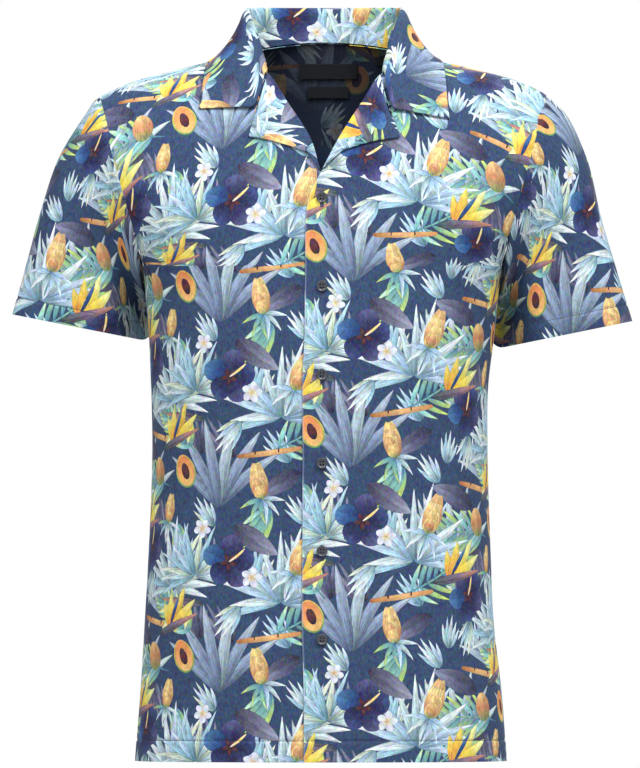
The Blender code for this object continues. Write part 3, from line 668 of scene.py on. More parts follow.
def body_levels():
    """Levels down a panel, closest where it turns in at its top seam and at the hem's stitches."""
    top = TOP_GAP + np.array([0.0, 0.006, 0.014, 0.026])
    upper = np.linspace(0.045, 1, UPPER_ROWS)[:-1]
    per_mm = MM / (HEM_DROP - UNDERARM_DROP)
    hem = 2 - (BODY_HEM / MM - np.array([-6.0, -3.0, -1.6, -0.7, 0.0, 0.7, 1.6, 3.0])) * per_mm
    lower = np.linspace(1, 2 - (BODY_HEM / MM + 9) * per_mm, LOWER_ROWS)
    last = 2 - np.array([15.0, 10.0, 5.0, 2.5, 1.0, 0.0]) * per_mm
    return np.concatenate([top, upper, lower, hem, last])


def side_shares(inner=False):
    """Shares across a panel, closest where it turns in at the side seam, and at a free edge."""
    fine = np.array([0.003, 0.007, 0.013, 0.022])
    middle = np.linspace(0.035 if inner else 0, 1 - 0.035, HALF_COLUMNS)
    start = [0.0, 0.0005, 0.0012, 0.0022, 0.0036, 0.0065, 0.012, 0.022] if inner else []
    return np.concatenate([start, middle, 1 - fine[::-1], [1.0]])


def chart_of(points, row, column, mirror=1):
    """Cloth coordinates in mm: along each row from one column, and up each column from one row."""
    wide = np.linalg.norm(np.diff(points, axis=1), axis=-1) / MM
    high = np.linalg.norm(np.diff(points, axis=0), axis=-1) / MM
    x = np.concatenate([np.zeros((len(wide), 1)), np.cumsum(wide, 1)], 1)
    y = -np.concatenate([np.zeros((1, high.shape[1])), np.cumsum(high, 0)], 0)
    return np.stack([mirror * (x - x[:, [column]]), y - y[[row]]], -1)


def unit(vectors):
    return vectors / np.linalg.norm(vectors, axis=-1, keepdims=True)


def outward(points, chart):
    """The normals on the cloth's right side."""
    down, right = np.gradient(points, axis=0), np.gradient(points, axis=1)
    chart_down, chart_right = np.gradient(chart, axis=0), np.gradient(chart, axis=1)
    turn = chart_right[..., 0] * chart_down[..., 1] - chart_right[..., 1] * chart_down[..., 0]
    return unit(np.cross(right, down) * np.sign(turn)[..., None])


# How deep the cloth is drawn in at a line of stitches, and how far from a seam or from a hem's
# stitches that shows, in mm
STITCH_DIP, SEAM_WIDTH, GROOVE_WIDTH = 0.8, 2.6, 1.2
# How far a hem stands out, how far below its stitches it does so in full, and how far above them the
# wall begins to thicken, in mm
HEM_SWELL, SWELL_FADE, WALL_FADE = 0.30, 3, 1.5


def creased(points, chart, creases):
    """The points with soft troughs (minus) and ridges (plus) that fade at both ends. Each crease is
    its middle's x and y on the flat cloth, its turn in degrees, its length, width and depth, all in
    mm, and its bend."""
    depth = np.zeros(points.shape[:2])
    for middle_x, middle_y, turn, long, wide, deep, bend in creases:
        cos, sin = math.cos(math.radians(turn)), math.sin(math.radians(turn))
        x, y = chart[..., 0] - middle_x, chart[..., 1] - middle_y
        along = (x * cos + y * sin) / (long / 2)
        across = (y * cos - x * sin - bend * long * along**2) / wide
        depth += deep * np.exp(-(across**2)) * smooth_step(1 - np.abs(along))
    return points + outward(points, chart) * depth[..., None] * MM


def above_hem(chart):
    """How far up from its bottom edge each place on a piece is."""
    return chart[..., 1] - chart[-1, :, 1]


def hemmed(points, chart, hem):
    """The points with the turned-up hem standing out a little under the groove of its stitches."""
    up = above_hem(chart)
    groove = -STITCH_DIP * np.exp(-(((up - hem / MM) / GROOVE_WIDTH) ** 2))
    swell = HEM_SWELL * smooth_step((hem / MM - up) / SWELL_FADE) * smooth_step(up / 2 + 0.4)
    return points + outward(points, chart) * (groove + swell)[..., None] * MM


def from_edges(chart, columns, rows):
    """How far each place is from each of some of the table's columns and rows."""
    across = [np.abs(chart[..., 0] - chart[:, [column], 0]) for column in columns]
    return across + [np.abs(chart[..., 1] - chart[[row], :, 1]) for row in rows]


def seamed(points, chart, columns=(), rows=()):
    """The points with the cloth turned in along the seams at some of the table's columns and rows."""
    normals = outward(points, chart)
    for away in from_edges(chart, columns, rows):
        points = points - normals * (STITCH_DIP * np.exp(-((away / SEAM_WIDTH) ** 2)))[..., None] * MM
    return points


def hem_walls(chart, hem):
    """The wall's thickness over a piece: two layers of cloth in the hem."""
    doubled = smooth_step((hem / MM + WALL_FADE - above_hem(chart)) / WALL_FADE)
    return CLOTH + (HEM_CLOTH - CLOTH) * doubled


def mesh_of(name, points, edges=(), faces=()):
    mesh = bpy.data.meshes.new(name)
    mesh.from_pydata(np.asarray(points).tolist(), edges, faces)
    return mesh


def in_room(name, data):
    """An object made of a mesh, lamp or lens, in the scene."""
    made = bpy.data.objects.new(name, data)
    bpy.context.scene.collection.objects.link(made)
    return made


def on_shirt(name, mesh, node):
    """A finished piece, standing for one of the part's solids."""
    piece = in_room(name, mesh)
    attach(piece, "root")
    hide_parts(node)
    return piece


def wall_mesh(name, points, chart, wall):
    """A wall of cloth from a table of places in the room and on the flat cloth, with smooth faces and
    closed edges. Also returns the corners of its faces, and for each the face of the right side that
    it lies at."""
    rows, columns = points.shape[:2]
    count = rows * columns
    normals = outward(points, chart)
    inner = points - normals * np.broadcast_to(wall, (rows, columns))[..., None]
    number = np.arange(count).reshape(rows, columns)
    quads = np.stack([number[:-1, :-1], number[:-1, 1:], number[1:, 1:], number[1:, :-1]], -1).reshape(-1, 4)
    loop = np.concatenate([number[0, :-1], number[:-1, -1], number[-1, :0:-1], number[:0:-1, 0]])
    face = np.arange(len(quads)).reshape(rows - 1, columns - 1)
    beside = np.concatenate([face[0], face[:, -1], face[-1, ::-1], face[::-1, 0]])
    flat = chart.reshape(-1, 2)
    one, two, four = (flat[quads[0, k]] for k in (0, 1, 3))
    if (two - one)[0] * (four - one)[1] < (two - one)[1] * (four - one)[0]:
        quads = quads[:, ::-1]
        loop, beside = loop[::-1], np.roll(beside[::-1], -1)
    following = np.roll(loop, -1)
    walls = np.stack([loop, loop + count, following + count, following], -1)
    faces = np.concatenate([quads, quads[:, ::-1] + count, walls])
    mesh = mesh_of(name, np.concatenate([points, inner]).reshape(-1, 3), faces=faces.tolist())
    grain = np.concatenate([flat, flat])[faces] * MM
    mesh.uv_layers.new(name="grain").data.foreach_set("uv", grain.astype(np.float32).ravel())
    mesh.shade_smooth()
    facing = np.concatenate([normals, -normals]).reshape(-1, 3)
    mesh.normals_split_custom_set_from_vertices(facing.tolist())
    return mesh, faces, np.concatenate([np.arange(len(quads)), np.arange(len(quads)), beside])


def cut_jersey(node, points, chart, place, wall, rub_and_highlight=0.0):
    """A piece of the printed jersey, standing for one of the part's solids."""
    mesh, faces, source = wall_mesh(node + "_jersey", points, chart, wall)
    count = source.max() + 1
    shown = blades_seen(place, chart.reshape(-1, 2)[faces[:count]])
    for part, values in zip(("root", "size", "form"), shown):
        for slot in range(SLOTS):
            layer = mesh.attributes.new(f"blade_{slot}_{part}", "FLOAT_VECTOR", "FACE")
            layer.data.foreach_set("vector", values[source, slot].astype(np.float32).ravel())
    # The inner faces are the wrong side, which the jersey darkens as painted shade.
    wrong = np.zeros(len(faces), np.float32)
    wrong[count : 2 * count] = 1
    mesh.attributes.new("wrong_side_shade", "FLOAT", "FACE").data.foreach_set("value", wrong)
    # Where the pale edge line lies: partly wear from rubbing, partly a painted highlight.
    rub_and_highlight = np.tile(np.broadcast_to(rub_and_highlight, chart.shape[:2]).ravel(), 2).astype(np.float32)
    mesh.attributes.new("rub_and_highlight", "FLOAT", "POINT").data.foreach_set("value", rub_and_highlight)
    mesh.materials.append(printed_jersey)
    piece = on_shirt(node + "_jersey", mesh, node)


levels = body_levels()
underarm_row = int(np.argmax(levels >= 1))
reach = side_shares() * (1 - SIDE_GAP)
sides_of_back = ((RIGHT, reach[::-1]), (LEFT, reach[1:]))
back_points = np.concatenate([body(side, BACK, half, levels[:, None]) for side, half in sides_of_back], 1)
back_chart = chart_of(back_points, underarm_row, len(reach) - 1, mirror=-1)
BACK_CREASES = [
    (-60, -250, 62, 150, 17, -1.5, 0.10), (70, -230, 116, 140, 16, -1.3, -0.10),
    (-25, -390, 80, 170, 21, -1.4, 0.05), (60, -410, 100, 150, 19, 1.2, -0.06),
    (-120, 60, 40, 110, 14, -1.1, 0.10), (118, 55, 140, 100, 13, -1.2, -0.10),
    (0, -120, 8, 150, 18, -0.9, 0.05), (-110, -150, 55, 110, 14, -1.2, 0.08),
    (112, -140, 128, 120, 15, -1.1, -0.08),
]
back_points = creased(back_points, back_chart, BACK_CREASES)
back_points = hemmed(back_points, back_chart, BODY_HEM)
back_points = seamed(back_points, back_chart, columns=(0, -1), rows=(0,))
cut_jersey("back", back_points, back_chart, PrintPlace(40, 30, 0), hem_walls(back_chart, BODY_HEM))


# ---- Labels -------------------------------------------------------------------------------------
# Two bare black satin labels, sewn flat inside the back of the neck one under the other, and a
# small bare size tab beside them. Each is a strip of woven polyester ribbon with no words on it.
LABEL_CLOTH = 0.0010
LABEL_GAP = 0.0009
Label = namedtuple("Label", "name out drop width height")
LABELS = [
    Label("neck_label", 0.0040, 0.0190, 0.060, 0.0150),
    Label("fit_label", 0.0040, 0.0407, 0.042, 0.0115),
    Label("size_tab", 0.0600, 0.0080, 0.013, 0.0080),
]


def level_at(side, out, drop):
    """The level at which the body, a given distance out, is a given drop below the neck."""
    top = top_height(side, np.abs(out))
    cosine = np.clip((UNDERARM_DROP - drop) / (top + UNDERARM_DROP), 0, 1)
    upper = 2 * np.arccos(np.sqrt(cosine)) / np.pi
    return np.where(drop < UNDERARM_DROP, upper, 1 + (drop - UNDERARM_DROP) / (HEM_DROP - UNDERARM_DROP))


def lifted(side, face, reach, level, lift):
    """Points on the body, moved straight out of its surface by a lift."""
    small = 1e-4
    lower = np.minimum(np.asarray(level) + small, 2)
    here = body(side, face, reach, level)
    across = body(side, face, reach + small, level) - here
    down = body(side, face, reach, lower) - body(side, face, reach, lower - small)
    return here + unit(np.cross(across, down) * side * face) * np.asarray(lift)[..., None]


def make_woven_label():
    """Black satin ribbon: fine close ribs, with the soft shine of a woven label."""
    made, tree, surface = new_finish("black_satin_woven_label", 0.50)
    grain = add(tree, "ShaderNodeUVMap", uv_map="grain")
    wear = add(tree, NOISE, {"Vector": grain, "Scale": 500.0})
    shades = {0: wear, 6: (*linear("#0d0e12"), 1), 7: (*linear("#1b1d24"), 1)}
    shade = add(tree, MIX, shades, data_type="RGBA")
    tree.links.new(shade.outputs[2], surface["Base Color"])
    ribs = add(tree, "ShaderNodeTexWave", {"Vector": grain, "Scale": 700.0}, bands_direction="Y")
    bump = add(tree, "ShaderNodeBump", {"Height": ribs, "Strength": 0.25, "Distance": 0.0001})
    tree.links.new(bump.outputs[0], surface["Normal"])
    return made


woven_label = make_woven_label()
label_rims = []
for label in LABELS:
    across = label.out + np.linspace(-0.5, 0.5, 25)[None, :] * label.width
    down = label.drop + np.linspace(-0.5, 0.5, 9)[:, None] * label.height
    out, drop = np.broadcast_arrays(across, down)
    level = level_at(LEFT, out, drop)
    lift = -(CLOTH + LABEL_GAP + LABEL_CLOTH)
    points = lifted(LEFT, BACK, reach_at(LEFT, level, out), level, lift + 0 * out)
    label_chart = chart_of(points, 0, 0)
    mesh, _, _ = wall_mesh(label.name + "_ribbon", points, label_chart, LABEL_CLOTH)
    mesh.materials.append(woven_label)
    ribbon = on_shirt(label.name + "_ribbon", mesh, label.name)
    label_rims += [points[:, 1], points[:, -2]]


# ---- Fronts -------------------------------------------------------------------------------------
# Two panels of the jersey, sewn to the back and hemmed. Each one's facing is folded back inside
# along its free edge, which shows as a plain fold with no stitches and a pale line on it, partly
# wear from rubbing and partly a painted highlight. The wearer's left front lies on the other.

# The free edge of each front, from the neck down: how far down it is, and how far out
FRONT_EDGES = {
    RIGHT: [
        (0.000, 0.0760), (0.0110, 0.0690), (0.0235, 0.0585), (0.0560, 0.0374), (0.0886, 0.0160),
        (0.1246, 0.0030), (0.1500, -0.0090), (0.1650, -0.0135), (0.1850, -0.0150), (0.2100, -0.0150),
    ],
    LEFT: [
        (0.000, 0.0760), (0.0120, 0.0680), (0.0250, 0.0575), (0.0555, 0.0390), (0.0822, 0.0220),
        (0.1257, -0.0024), (0.1430, -0.0120), (0.1580, -0.0165), (0.1750, -0.0178), (0.2100, -0.0178),
    ],
}
# The reaches between which the edge is looked for, and in how many halvings
EDGE_LEAST, EDGE_MOST, HALVINGS = -0.2, 0.8, 40
# How far the upper front lies off the under one, to how far out, and over what width that fades
OVERLAP_LIFT, OVERLAP_KEEP, OVERLAP_FADE = 0.0024, 0.018, 0.050
FOLD_RADIUS = 0.9


def edge_reach(side, levels):
    """The reach of a front's free edge at each level, found by closing in on it."""
    low, high = np.full(levels.shape, EDGE_LEAST), np.full(levels.shape, EDGE_MOST)
    for _ in range(HALVINGS):
        middle = (low + high) / 2
        point = body(side, FRONT, middle, levels)
        out = side * (point[..., 0] - lean(levels))
        beyond = out > through(FRONT_EDGES[side], -point[..., 2])[0]
        low, high = np.where(beyond, low, middle), np.where(beyond, middle, high)
    return middle


def overlap(side, points, levels):
    """The lift of the upper front, which lies on the other one along the buttoned edge."""
    if side == RIGHT:
        return np.zeros(points.shape[:-1])
    out = side * (points[..., 0] - lean(levels))
    return OVERLAP_LIFT * (1 - smooth_step((out - OVERLAP_KEEP) / OVERLAP_FADE))


def front_chart(side, levels, reach):
    """Cloth coordinates on a front, from a wider table that starts past the centre line."""
    wide = np.linspace(EDGE_LEAST, 1 - SIDE_GAP, 100)
    table = body(side, FRONT, wide[None, :], levels[:, None])
    middle = int(np.argmin(np.abs(wide)))
    whole = chart_of(table, underarm_row, middle, mirror=side)
    rows = [[np.interp(row, wide, of_row[:, k]) for k in (0, 1)] for row, of_row in zip(reach, whole)]
    return np.moveaxis(np.array(rows), 1, -1)


def folded(points, chart, columns=(), rows=()):
    """The points with the cloth rounded over at the folded edges at some columns and rows."""
    normals = outward(points, chart)
    for away in from_edges(chart, columns, rows):
        near = np.clip(1 - away / FOLD_RADIUS, 0, 1)
        points = points - normals * (FOLD_RADIUS * (1 - np.sqrt(1 - near**2)))[..., None] * MM
    return points


FRONT_CREASES = {
    RIGHT: [
        (-150, -40, 62, 120, 13, -1.6, 0.12), (-118, 62, 75, 110, 15, -1.2, -0.08),
        (-135, -210, 102, 170, 19, -1.3, 0.05), (-78, -330, 84, 190, 22, 1.0, -0.04),
        (-160, -400, 95, 150, 17, -1.2, 0.06), (-52, -120, 96, 160, 24, -0.9, 0.05),
        (-100, 165, 20, 90, 14, -0.8, 0.08),
    ],
    LEFT: [
        (152, -30, 116, 130, 14, -1.7, -0.10), (120, 70, 104, 100, 14, -1.1, 0.10),
        (128, -190, 80, 180, 20, -1.4, -0.05), (70, -300, 98, 170, 21, 1.1, 0.05),
        (162, -380, 86, 140, 16, -1.3, -0.05), (58, -90, 86, 150, 22, -0.9, -0.05),
        (104, 160, 160, 80, 13, -0.9, -0.08),
    ],
}
FRONT_PRINTS = {RIGHT: PrintPlace(150, 64, 0), LEFT: PrintPlace(16, 22, 0)}
# The pale band along each front's free edge, its width in mm and its strength: partly wear from rubbing,
# partly a painted highlight on the fold.
RUB_AND_HIGHLIGHT_WIDTH, RUB_AND_HIGHLIGHT_FULL = 1.6, 1.2
front_tables = {}
SIDES = {RIGHT: "right", LEFT: "left"}
for side, wearers in SIDES.items():
    inner = edge_reach(side, levels)
    reach = inner[:, None] + (1 - SIDE_GAP - inner[:, None]) * side_shares(inner=True)[None, :]
    grid_levels = levels[:, None] + 0 * reach
    points = body(side, FRONT, reach, grid_levels)
    points = lifted(side, FRONT, reach, grid_levels, overlap(side, points, grid_levels))
    chart = front_chart(side, levels, reach)
    points = hemmed(creased(points, chart, FRONT_CREASES[side]), chart, BODY_HEM)
    points = seamed(points, chart, columns=(-1,), rows=(0,))
    points = folded(points, chart, columns=(0,))
    # The pale band along the folded free edge: partly wear from rubbing, partly a painted highlight where
    # the fold catches the light.
    rub_and_highlight = np.clip(RUB_AND_HIGHLIGHT_FULL - np.abs(chart[..., 0] - chart[:, :1, 0]) / RUB_AND_HIGHLIGHT_WIDTH, 0, 1)
    walls = hem_walls(chart, BODY_HEM)
    cut_jersey("front_" + wearers, points, chart, FRONT_PRINTS[side], walls, rub_and_highlight=rub_and_highlight)
    front_tables[side] = points, chart


# ---- Lapels -------------------------------------------------------------------------------------
# The top of each front's facing, turned out over the front along the roll line. It is the same
# jersey, doubled with the front behind it, and its pressed edges lie free.

# The outline of each lapel, by shares from its top to its foot: how far out, and how far down
LAPELS = {
    RIGHT: [
        (0.00, 0.0687, 0.0604), (0.14, 0.0735, 0.0750), (0.28, 0.0770, 0.0897), (0.52, 0.0560, 0.0934),
        (0.72, 0.0333, 0.1000), (0.88, 0.0165, 0.1070), (0.97, 0.0075, 0.1195),
    ],
    LEFT: [
        (0.00, 0.0660, 0.0612), (0.14, 0.0725, 0.0750), (0.28, 0.0780, 0.0909), (0.52, 0.0557, 0.0936),
        (0.72, 0.0380, 0.0985), (0.88, 0.0200, 0.1045), (0.97, 0.0040, 0.1180),
    ],
}
LAPEL_TOP = {RIGHT: 0.0238, LEFT: 0.0253}
LAPEL_FOOT = {RIGHT: 0.1230, LEFT: 0.1215}
LAPEL_CLEAR = 0.0019
LAPEL_SWELL = 0.0022
# The gap at the seam with the collar, and the share of the lapel over which it closes
SEAM_GAP, SEAM_FADE = 0.0012, 0.07
# The turn of the cloth round the front's free edge: its radius, and where it starts and ends in degrees
CURL_RADIUS, CURL_START, CURL_END = 0.00125, 150, 15


def fanned(points, row, column, mirror=1):
    """Cloth coordinates in mm for a piece cut on a curve: its rows stay straight on the flat cloth
    and turn like the ribs of a fan, each as far from the last as it is in the room."""
    across = chart_of(points, row, column, mirror)[..., 0]
    steps = np.linalg.norm(np.diff(points, axis=0), axis=-1) / MM
    middles = (across[1:] + across[:-1]) / 2
    chart = np.zeros((*across.shape, 2))
    for order, way in ((range(row, len(points)), 1), (range(row, -1, -1), -1)):
        turn, start = 0.0, np.zeros(2)
        for i in order:
            along = np.array([math.cos(turn), math.sin(turn)])
            chart[i] = start + across[i][:, None] * along
            strip = i if way > 0 else i - 1
            if 0 <= strip < len(steps):
                slope, advance = np.polyfit(middles[strip], steps[strip], 1)
                turn -= way * slope
                ahead = turn + way * slope / 2
                start = start + way * advance * np.array([math.sin(ahead), -math.cos(ahead)])
    return chart


LAPEL_PRINTS = {RIGHT: PrintPlace(60, 118, 148), LEFT: PrintPlace(205, 40, -152)}
for side, wearers in SIDES.items():
    shares = np.concatenate([[0, 0.006, 0.015], np.linspace(0.03, 0.97, 44)])
    outline = np.array(LAPELS[side]).T
    outer_out, outer_drop = (np.interp(shares, outline[0], row) for row in outline[1:])
    roll_drop = LAPEL_TOP[side] + (LAPEL_FOOT[side] - LAPEL_TOP[side]) * shares / shares[-1]
    roll_out = through(FRONT_EDGES[side], roll_drop)[0]
    across = np.concatenate([np.linspace(0, 0.96, 24), [0.98, 0.992, 1.0]])[None, :]
    out = roll_out[:, None] + (outer_out - roll_out)[:, None] * across
    drop = roll_drop[:, None] + (outer_drop - roll_drop)[:, None] * across
    drop = drop + SEAM_GAP * np.clip(1 - shares / SEAM_FADE, 0, 1)[:, None]
    level = level_at(side, out, drop)
    reach = reach_at(side, level, out)
    over = overlap(side, body(side, FRONT, reach, level), level)
    lift = LAPEL_CLEAR + LAPEL_SWELL * np.sin(np.pi * across * 0.8) * (1 - shares[:, None] * 0.6)
    points = lifted(side, FRONT, reach, level, lift + over)
    # The roll: the cloth turns round the front's free edge, from its inside
    top = points[:, :1]
    up = unit(top - lifted(side, FRONT, reach[:, :1], level[:, :1], 0 * over[:, :1]))
    inward = top - points[:, 1:2]
    inward = unit(inward - up * (inward * up).sum(-1, keepdims=True))
    angle = np.radians(np.linspace(CURL_START, CURL_END, 10))[None, :, None]
    curl = top - up * CURL_RADIUS + CURL_RADIUS * (up * np.cos(angle) + inward * np.sin(angle))
    points = np.concatenate([curl, points], 1)
    chart = fanned(points, 0, curl.shape[1], mirror=side)
    points = folded(points, chart, columns=(-1,), rows=(0,))
    cut_jersey("lapel_" + wearers, points, chart, LAPEL_PRINTS[side], CLOTH)


# ---- Collar -------------------------------------------------------------------------------------
# A one-piece camp collar: it stands up from the neck seam, rolls over and falls on the shoulders
# to its points. Two layers of the jersey with a soft interlining between them, turned out and
# pressed, with no stitching round the edge.
COLLAR_CLOTH = 0.0015
Section = namedtuple("Section", "turn neck_out neck_tilt roll_out roll_y roll_z edge_out edge_tilt")
COLLAR = [
    Section(0.00, 0.0000, 0.0, 0.0000, 0.0680, 0.0430, 0.0000, 24.0),
    Section(0.15, 0.0300, 0.0, 0.0330, 0.0640, 0.0430, 0.0370, 24.0),
    Section(0.30, 0.0550, 0.0, 0.0590, 0.0480, 0.0430, 0.0700, 22.0),
    Section(0.43, 0.0710, 0.0, 0.0762, 0.0250, 0.0428, 0.0980, 14.0),
    Section(0.55, 0.0755, -1.5, 0.0795, 0.0010, 0.0400, 0.1145, 0.0),
    Section(0.67, 0.0730, -9.0, 0.0750, -0.0200, 0.0285, 0.1215, -11.0),
    Section(0.79, 0.0690, -17.0, 0.0690, -0.0380, 0.0110, 0.1240, -22.0),
    Section(0.90, 0.0635, -24.0, 0.0640, -0.0510, -0.0070, 0.1260, -32.0),
    Section(1.00, 0.0582, -29.0, 0.0590, -0.0590, -0.0220, 0.1285, -39.5),
]
# How far off the body the stand and the fall lie, and how soon the fall comes down to that
STAND_CLEAR, FALL_CLEAR, FALL_DRAPE = 0.0008, 0.0030, 1.6
# The roll's radius, its most as a share of the stand's height, and the places over its crest, in
# radii up and out
ROLL_RADIUS, ROLL_MOST = 0.0024, 0.35
ROLL_CREST = ((0.8, -0.6), (1, 0), (0.7, 0.8))
# How far the points droop in degrees, and from what turn
POINT_DROOP, DROOP_FROM = {RIGHT: 0.0, LEFT: 4.4}, 0.6
# From what turn the fall follows the seam of the lapel, and where on the fall the lapel's notch lies
GORGE_BLEND, NOTCH_SHARE = 0.62, 0.28


def on_top(side, out, tilt, lift):
    """Points over the shoulder at a distance out and a tilt, moved out by a lift."""
    out, tilt, lift = np.broadcast_arrays(*(np.asarray(v, float) for v in (out, tilt, lift)))
    level = np.maximum(2 * np.arccos(np.sqrt(np.cos(np.radians(np.abs(tilt))))) / np.pi, 0.004)
    reach = reach_at(side, level, out)
    front = lifted(side, FRONT, reach, level, lift)
    back = lifted(side, BACK, reach, level, lift)
    return np.where((tilt < 0)[..., None], front, back)


def collar_section(side, turn):
    """One section across the collar: up the stand, over the roll and down the fall."""
    neck_out, neck_tilt, roll_out, roll_y, roll_z, edge_out, edge_tilt = through(COLLAR, turn)
    edge_tilt = edge_tilt - POINT_DROOP[side] * smooth_step((turn - DROOP_FROM) / (1 - DROOP_FROM))
    foot = on_top(side, neck_out, neck_tilt, STAND_CLEAR)
    roll = np.array([side * roll_out + NECK_LEAN, roll_y, roll_z])

    share = np.linspace(0.06, 1, 8)
    out = neck_out + (edge_out - neck_out) * share
    tilt = neck_tilt + (edge_tilt - neck_tilt) * share
    # Towards its end the fall bends at the lapel's notch, and follows the seam where they meet
    _, notch_out, notch_drop = LAPELS[side][0]
    notch_tilt = -np.degrees(np.arccos(turned(level_at(side, notch_out, notch_drop))[0]))
    bent_out, bent_tilt = (
        np.interp(share, [0, NOTCH_SHARE, 1], ends)
        for ends in ([neck_out, notch_out, edge_out], [neck_tilt, notch_tilt, edge_tilt])
    )
    blend = max(0.0, (turn - GORGE_BLEND) / (1 - GORGE_BLEND)) ** 2
    out, tilt = out + (bent_out - out) * blend, tilt + (bent_tilt - tilt) * blend

    rise = roll - on_top(side, neck_out, neck_tilt, 0.0)
    fade = (1 - share) ** FALL_DRAPE
    fall = on_top(side, out, tilt, FALL_CLEAR) + rise * fade[:, None]
    up = unit(roll - foot)
    away = fall[-1] - foot
    away = unit(away - up * away.dot(up))
    radius = min(ROLL_RADIUS, ROLL_MOST * np.linalg.norm(roll - foot))
    stand = [foot + (roll - away * radius - foot) * t for t in (0, 0.33, 0.66, 0.97)]
    crest = [roll + radius * (up * height + away * beyond) for height, beyond in ROLL_CREST]
    return np.array([*stand, *crest, *(fall + away * radius * fade[:, None])])


def smoothed(profile, shares):
    """A section's places at shares of its length, on a smooth curve through its points."""
    steps = np.linalg.norm(np.diff(profile, axis=0), axis=1)
    key = np.concatenate([[0], np.cumsum(steps)])
    return through(np.column_stack([key, profile]), shares * key[-1]).T


turns = np.concatenate([np.linspace(0, 0.985, 58), [0.993, 0.998, 1.0]])
shares = np.concatenate([[0, 0.008], np.linspace(0.02, 0.975, 42), [0.985, 0.994, 1.0]])
right = [smoothed(collar_section(RIGHT, turn), shares) for turn in reversed(turns)]
left = [smoothed(collar_section(LEFT, turn), shares) for turn in turns[1:]]
collar_points = np.array(right + left)
crest_column = int(np.argmax(collar_points[len(turns) - 1, :, 2]))
collar_chart = fanned(collar_points, len(turns) - 1, crest_column)
COLLAR_CREASES = [
    (-14, -93, 8, 34, 5, -0.8, 0.1), (-16, -108, -4, 30, 4.5, 0.6, 0.0), (-14, 95, -6, 34, 5, -0.9, -0.1),
    (-15, 110, 6, 30, 4.5, 0.6, 0.0), (38, -150, 70, 70, 11, -0.7, 0.1),
    (34, 158, 105, 80, 12, -0.7, -0.1), (30, 20, 95, 90, 13, 0.6, 0.1),
]
collar_points = creased(collar_points, collar_chart, COLLAR_CREASES)
collar_points = seamed(collar_points, collar_chart, columns=(0,))
collar_points = folded(collar_points, collar_chart, columns=(-1,), rows=(0, -1))
cut_jersey("collar", collar_points, collar_chart, PrintPlace(92, 150, 87), COLLAR_CLOTH)


# ---- Sleeves ------------------------------------------------------------------------------------
# Two short set-in sleeves, each one piece closed along its under side, sewn to the armhole and
# hemmed 18 mm deep. They keep the roundness of the arms and fall a little away from the body.
# "Along" runs from the armhole (0) to the hem (1), and "around" from the crown by way of the front.
SLEEVE_HEM = 0.018
SLEEVE_LENGTH = 240
Cuff = namedtuple("Cuff", "along crown_out crown_drop under_out under_back under_drop front back lift")
SLEEVES = {
    RIGHT: [
        Cuff(0.00, 0.2355, 0.0492, 0.1845, 0.000, 0.222, 0.070, 0.082, 0.000),
        Cuff(0.10, 0.2450, 0.0640, 0.1860, 0.012, 0.232, 0.068, 0.079, 0.000),
        Cuff(0.30, 0.2700, 0.1059, 0.1818, 0.034, 0.247, 0.063, 0.070, 0.003),
        Cuff(0.56, 0.2895, 0.1650, 0.1772, 0.046, 0.265, 0.057, 0.059, 0.008),
        Cuff(0.80, 0.3040, 0.2210, 0.1750, 0.047, 0.284, 0.053, 0.052, 0.012),
        Cuff(1.00, 0.3177, 0.2714, 0.1730, 0.048, 0.300, 0.050, 0.048, 0.015),
    ],
    LEFT: [
        Cuff(0.00, 0.2290, 0.0465, 0.1845, 0.000, 0.222, 0.070, 0.082, 0.000),
        Cuff(0.10, 0.2465, 0.0620, 0.1860, 0.012, 0.234, 0.068, 0.079, 0.000),
        Cuff(0.30, 0.2708, 0.1078, 0.1818, 0.034, 0.251, 0.063, 0.070, 0.003),
        Cuff(0.56, 0.2880, 0.1720, 0.1772, 0.046, 0.270, 0.057, 0.059, 0.008),
        Cuff(0.80, 0.3055, 0.2290, 0.1757, 0.047, 0.291, 0.053, 0.052, 0.012),
        Cuff(1.00, 0.3205, 0.2783, 0.1745, 0.048, 0.308, 0.050, 0.048, 0.015),
    ],
}
# How far out from the armhole the sleeve starts, how much more at the crown, and the share of its
# length over which that fades
ARMHOLE_GAP, ARMHOLE_STEP, STEP_FADE = 0.0003, 0.0004, 0.12
# Half the gap where the sleeve closes along its under side, in radians
SLIT = 0.002
# Where round the sleeve something is, in degrees from the crown, how wide it is and how far back it
# reaches: the crest and the hollow of the inner fold, and the rise and fall of the hem underneath
Round = namedtuple("Round", "turn wide back")
FOLD = (Round(143, 20, 0.021), Round(108, 13, -0.008))
RISE, FALL = Round(140, 45, 0), Round(290, 60, 0)
# How far in the sleeve rests against the side, the y and drop where it does so most, and how deep
# and high that patch is
REST, REST_BACK, REST_DROP, REST_DEEP, REST_HIGH = 0.005, 0.052, 0.231, 0.016, 0.018
# The seam allowance's rows: how far in from the seam, how deep under the body, and up the print in mm
ALLOWANCE = [(0.004, 0.0018, 4.0), (0.0004, 0.0014, 1.0)]


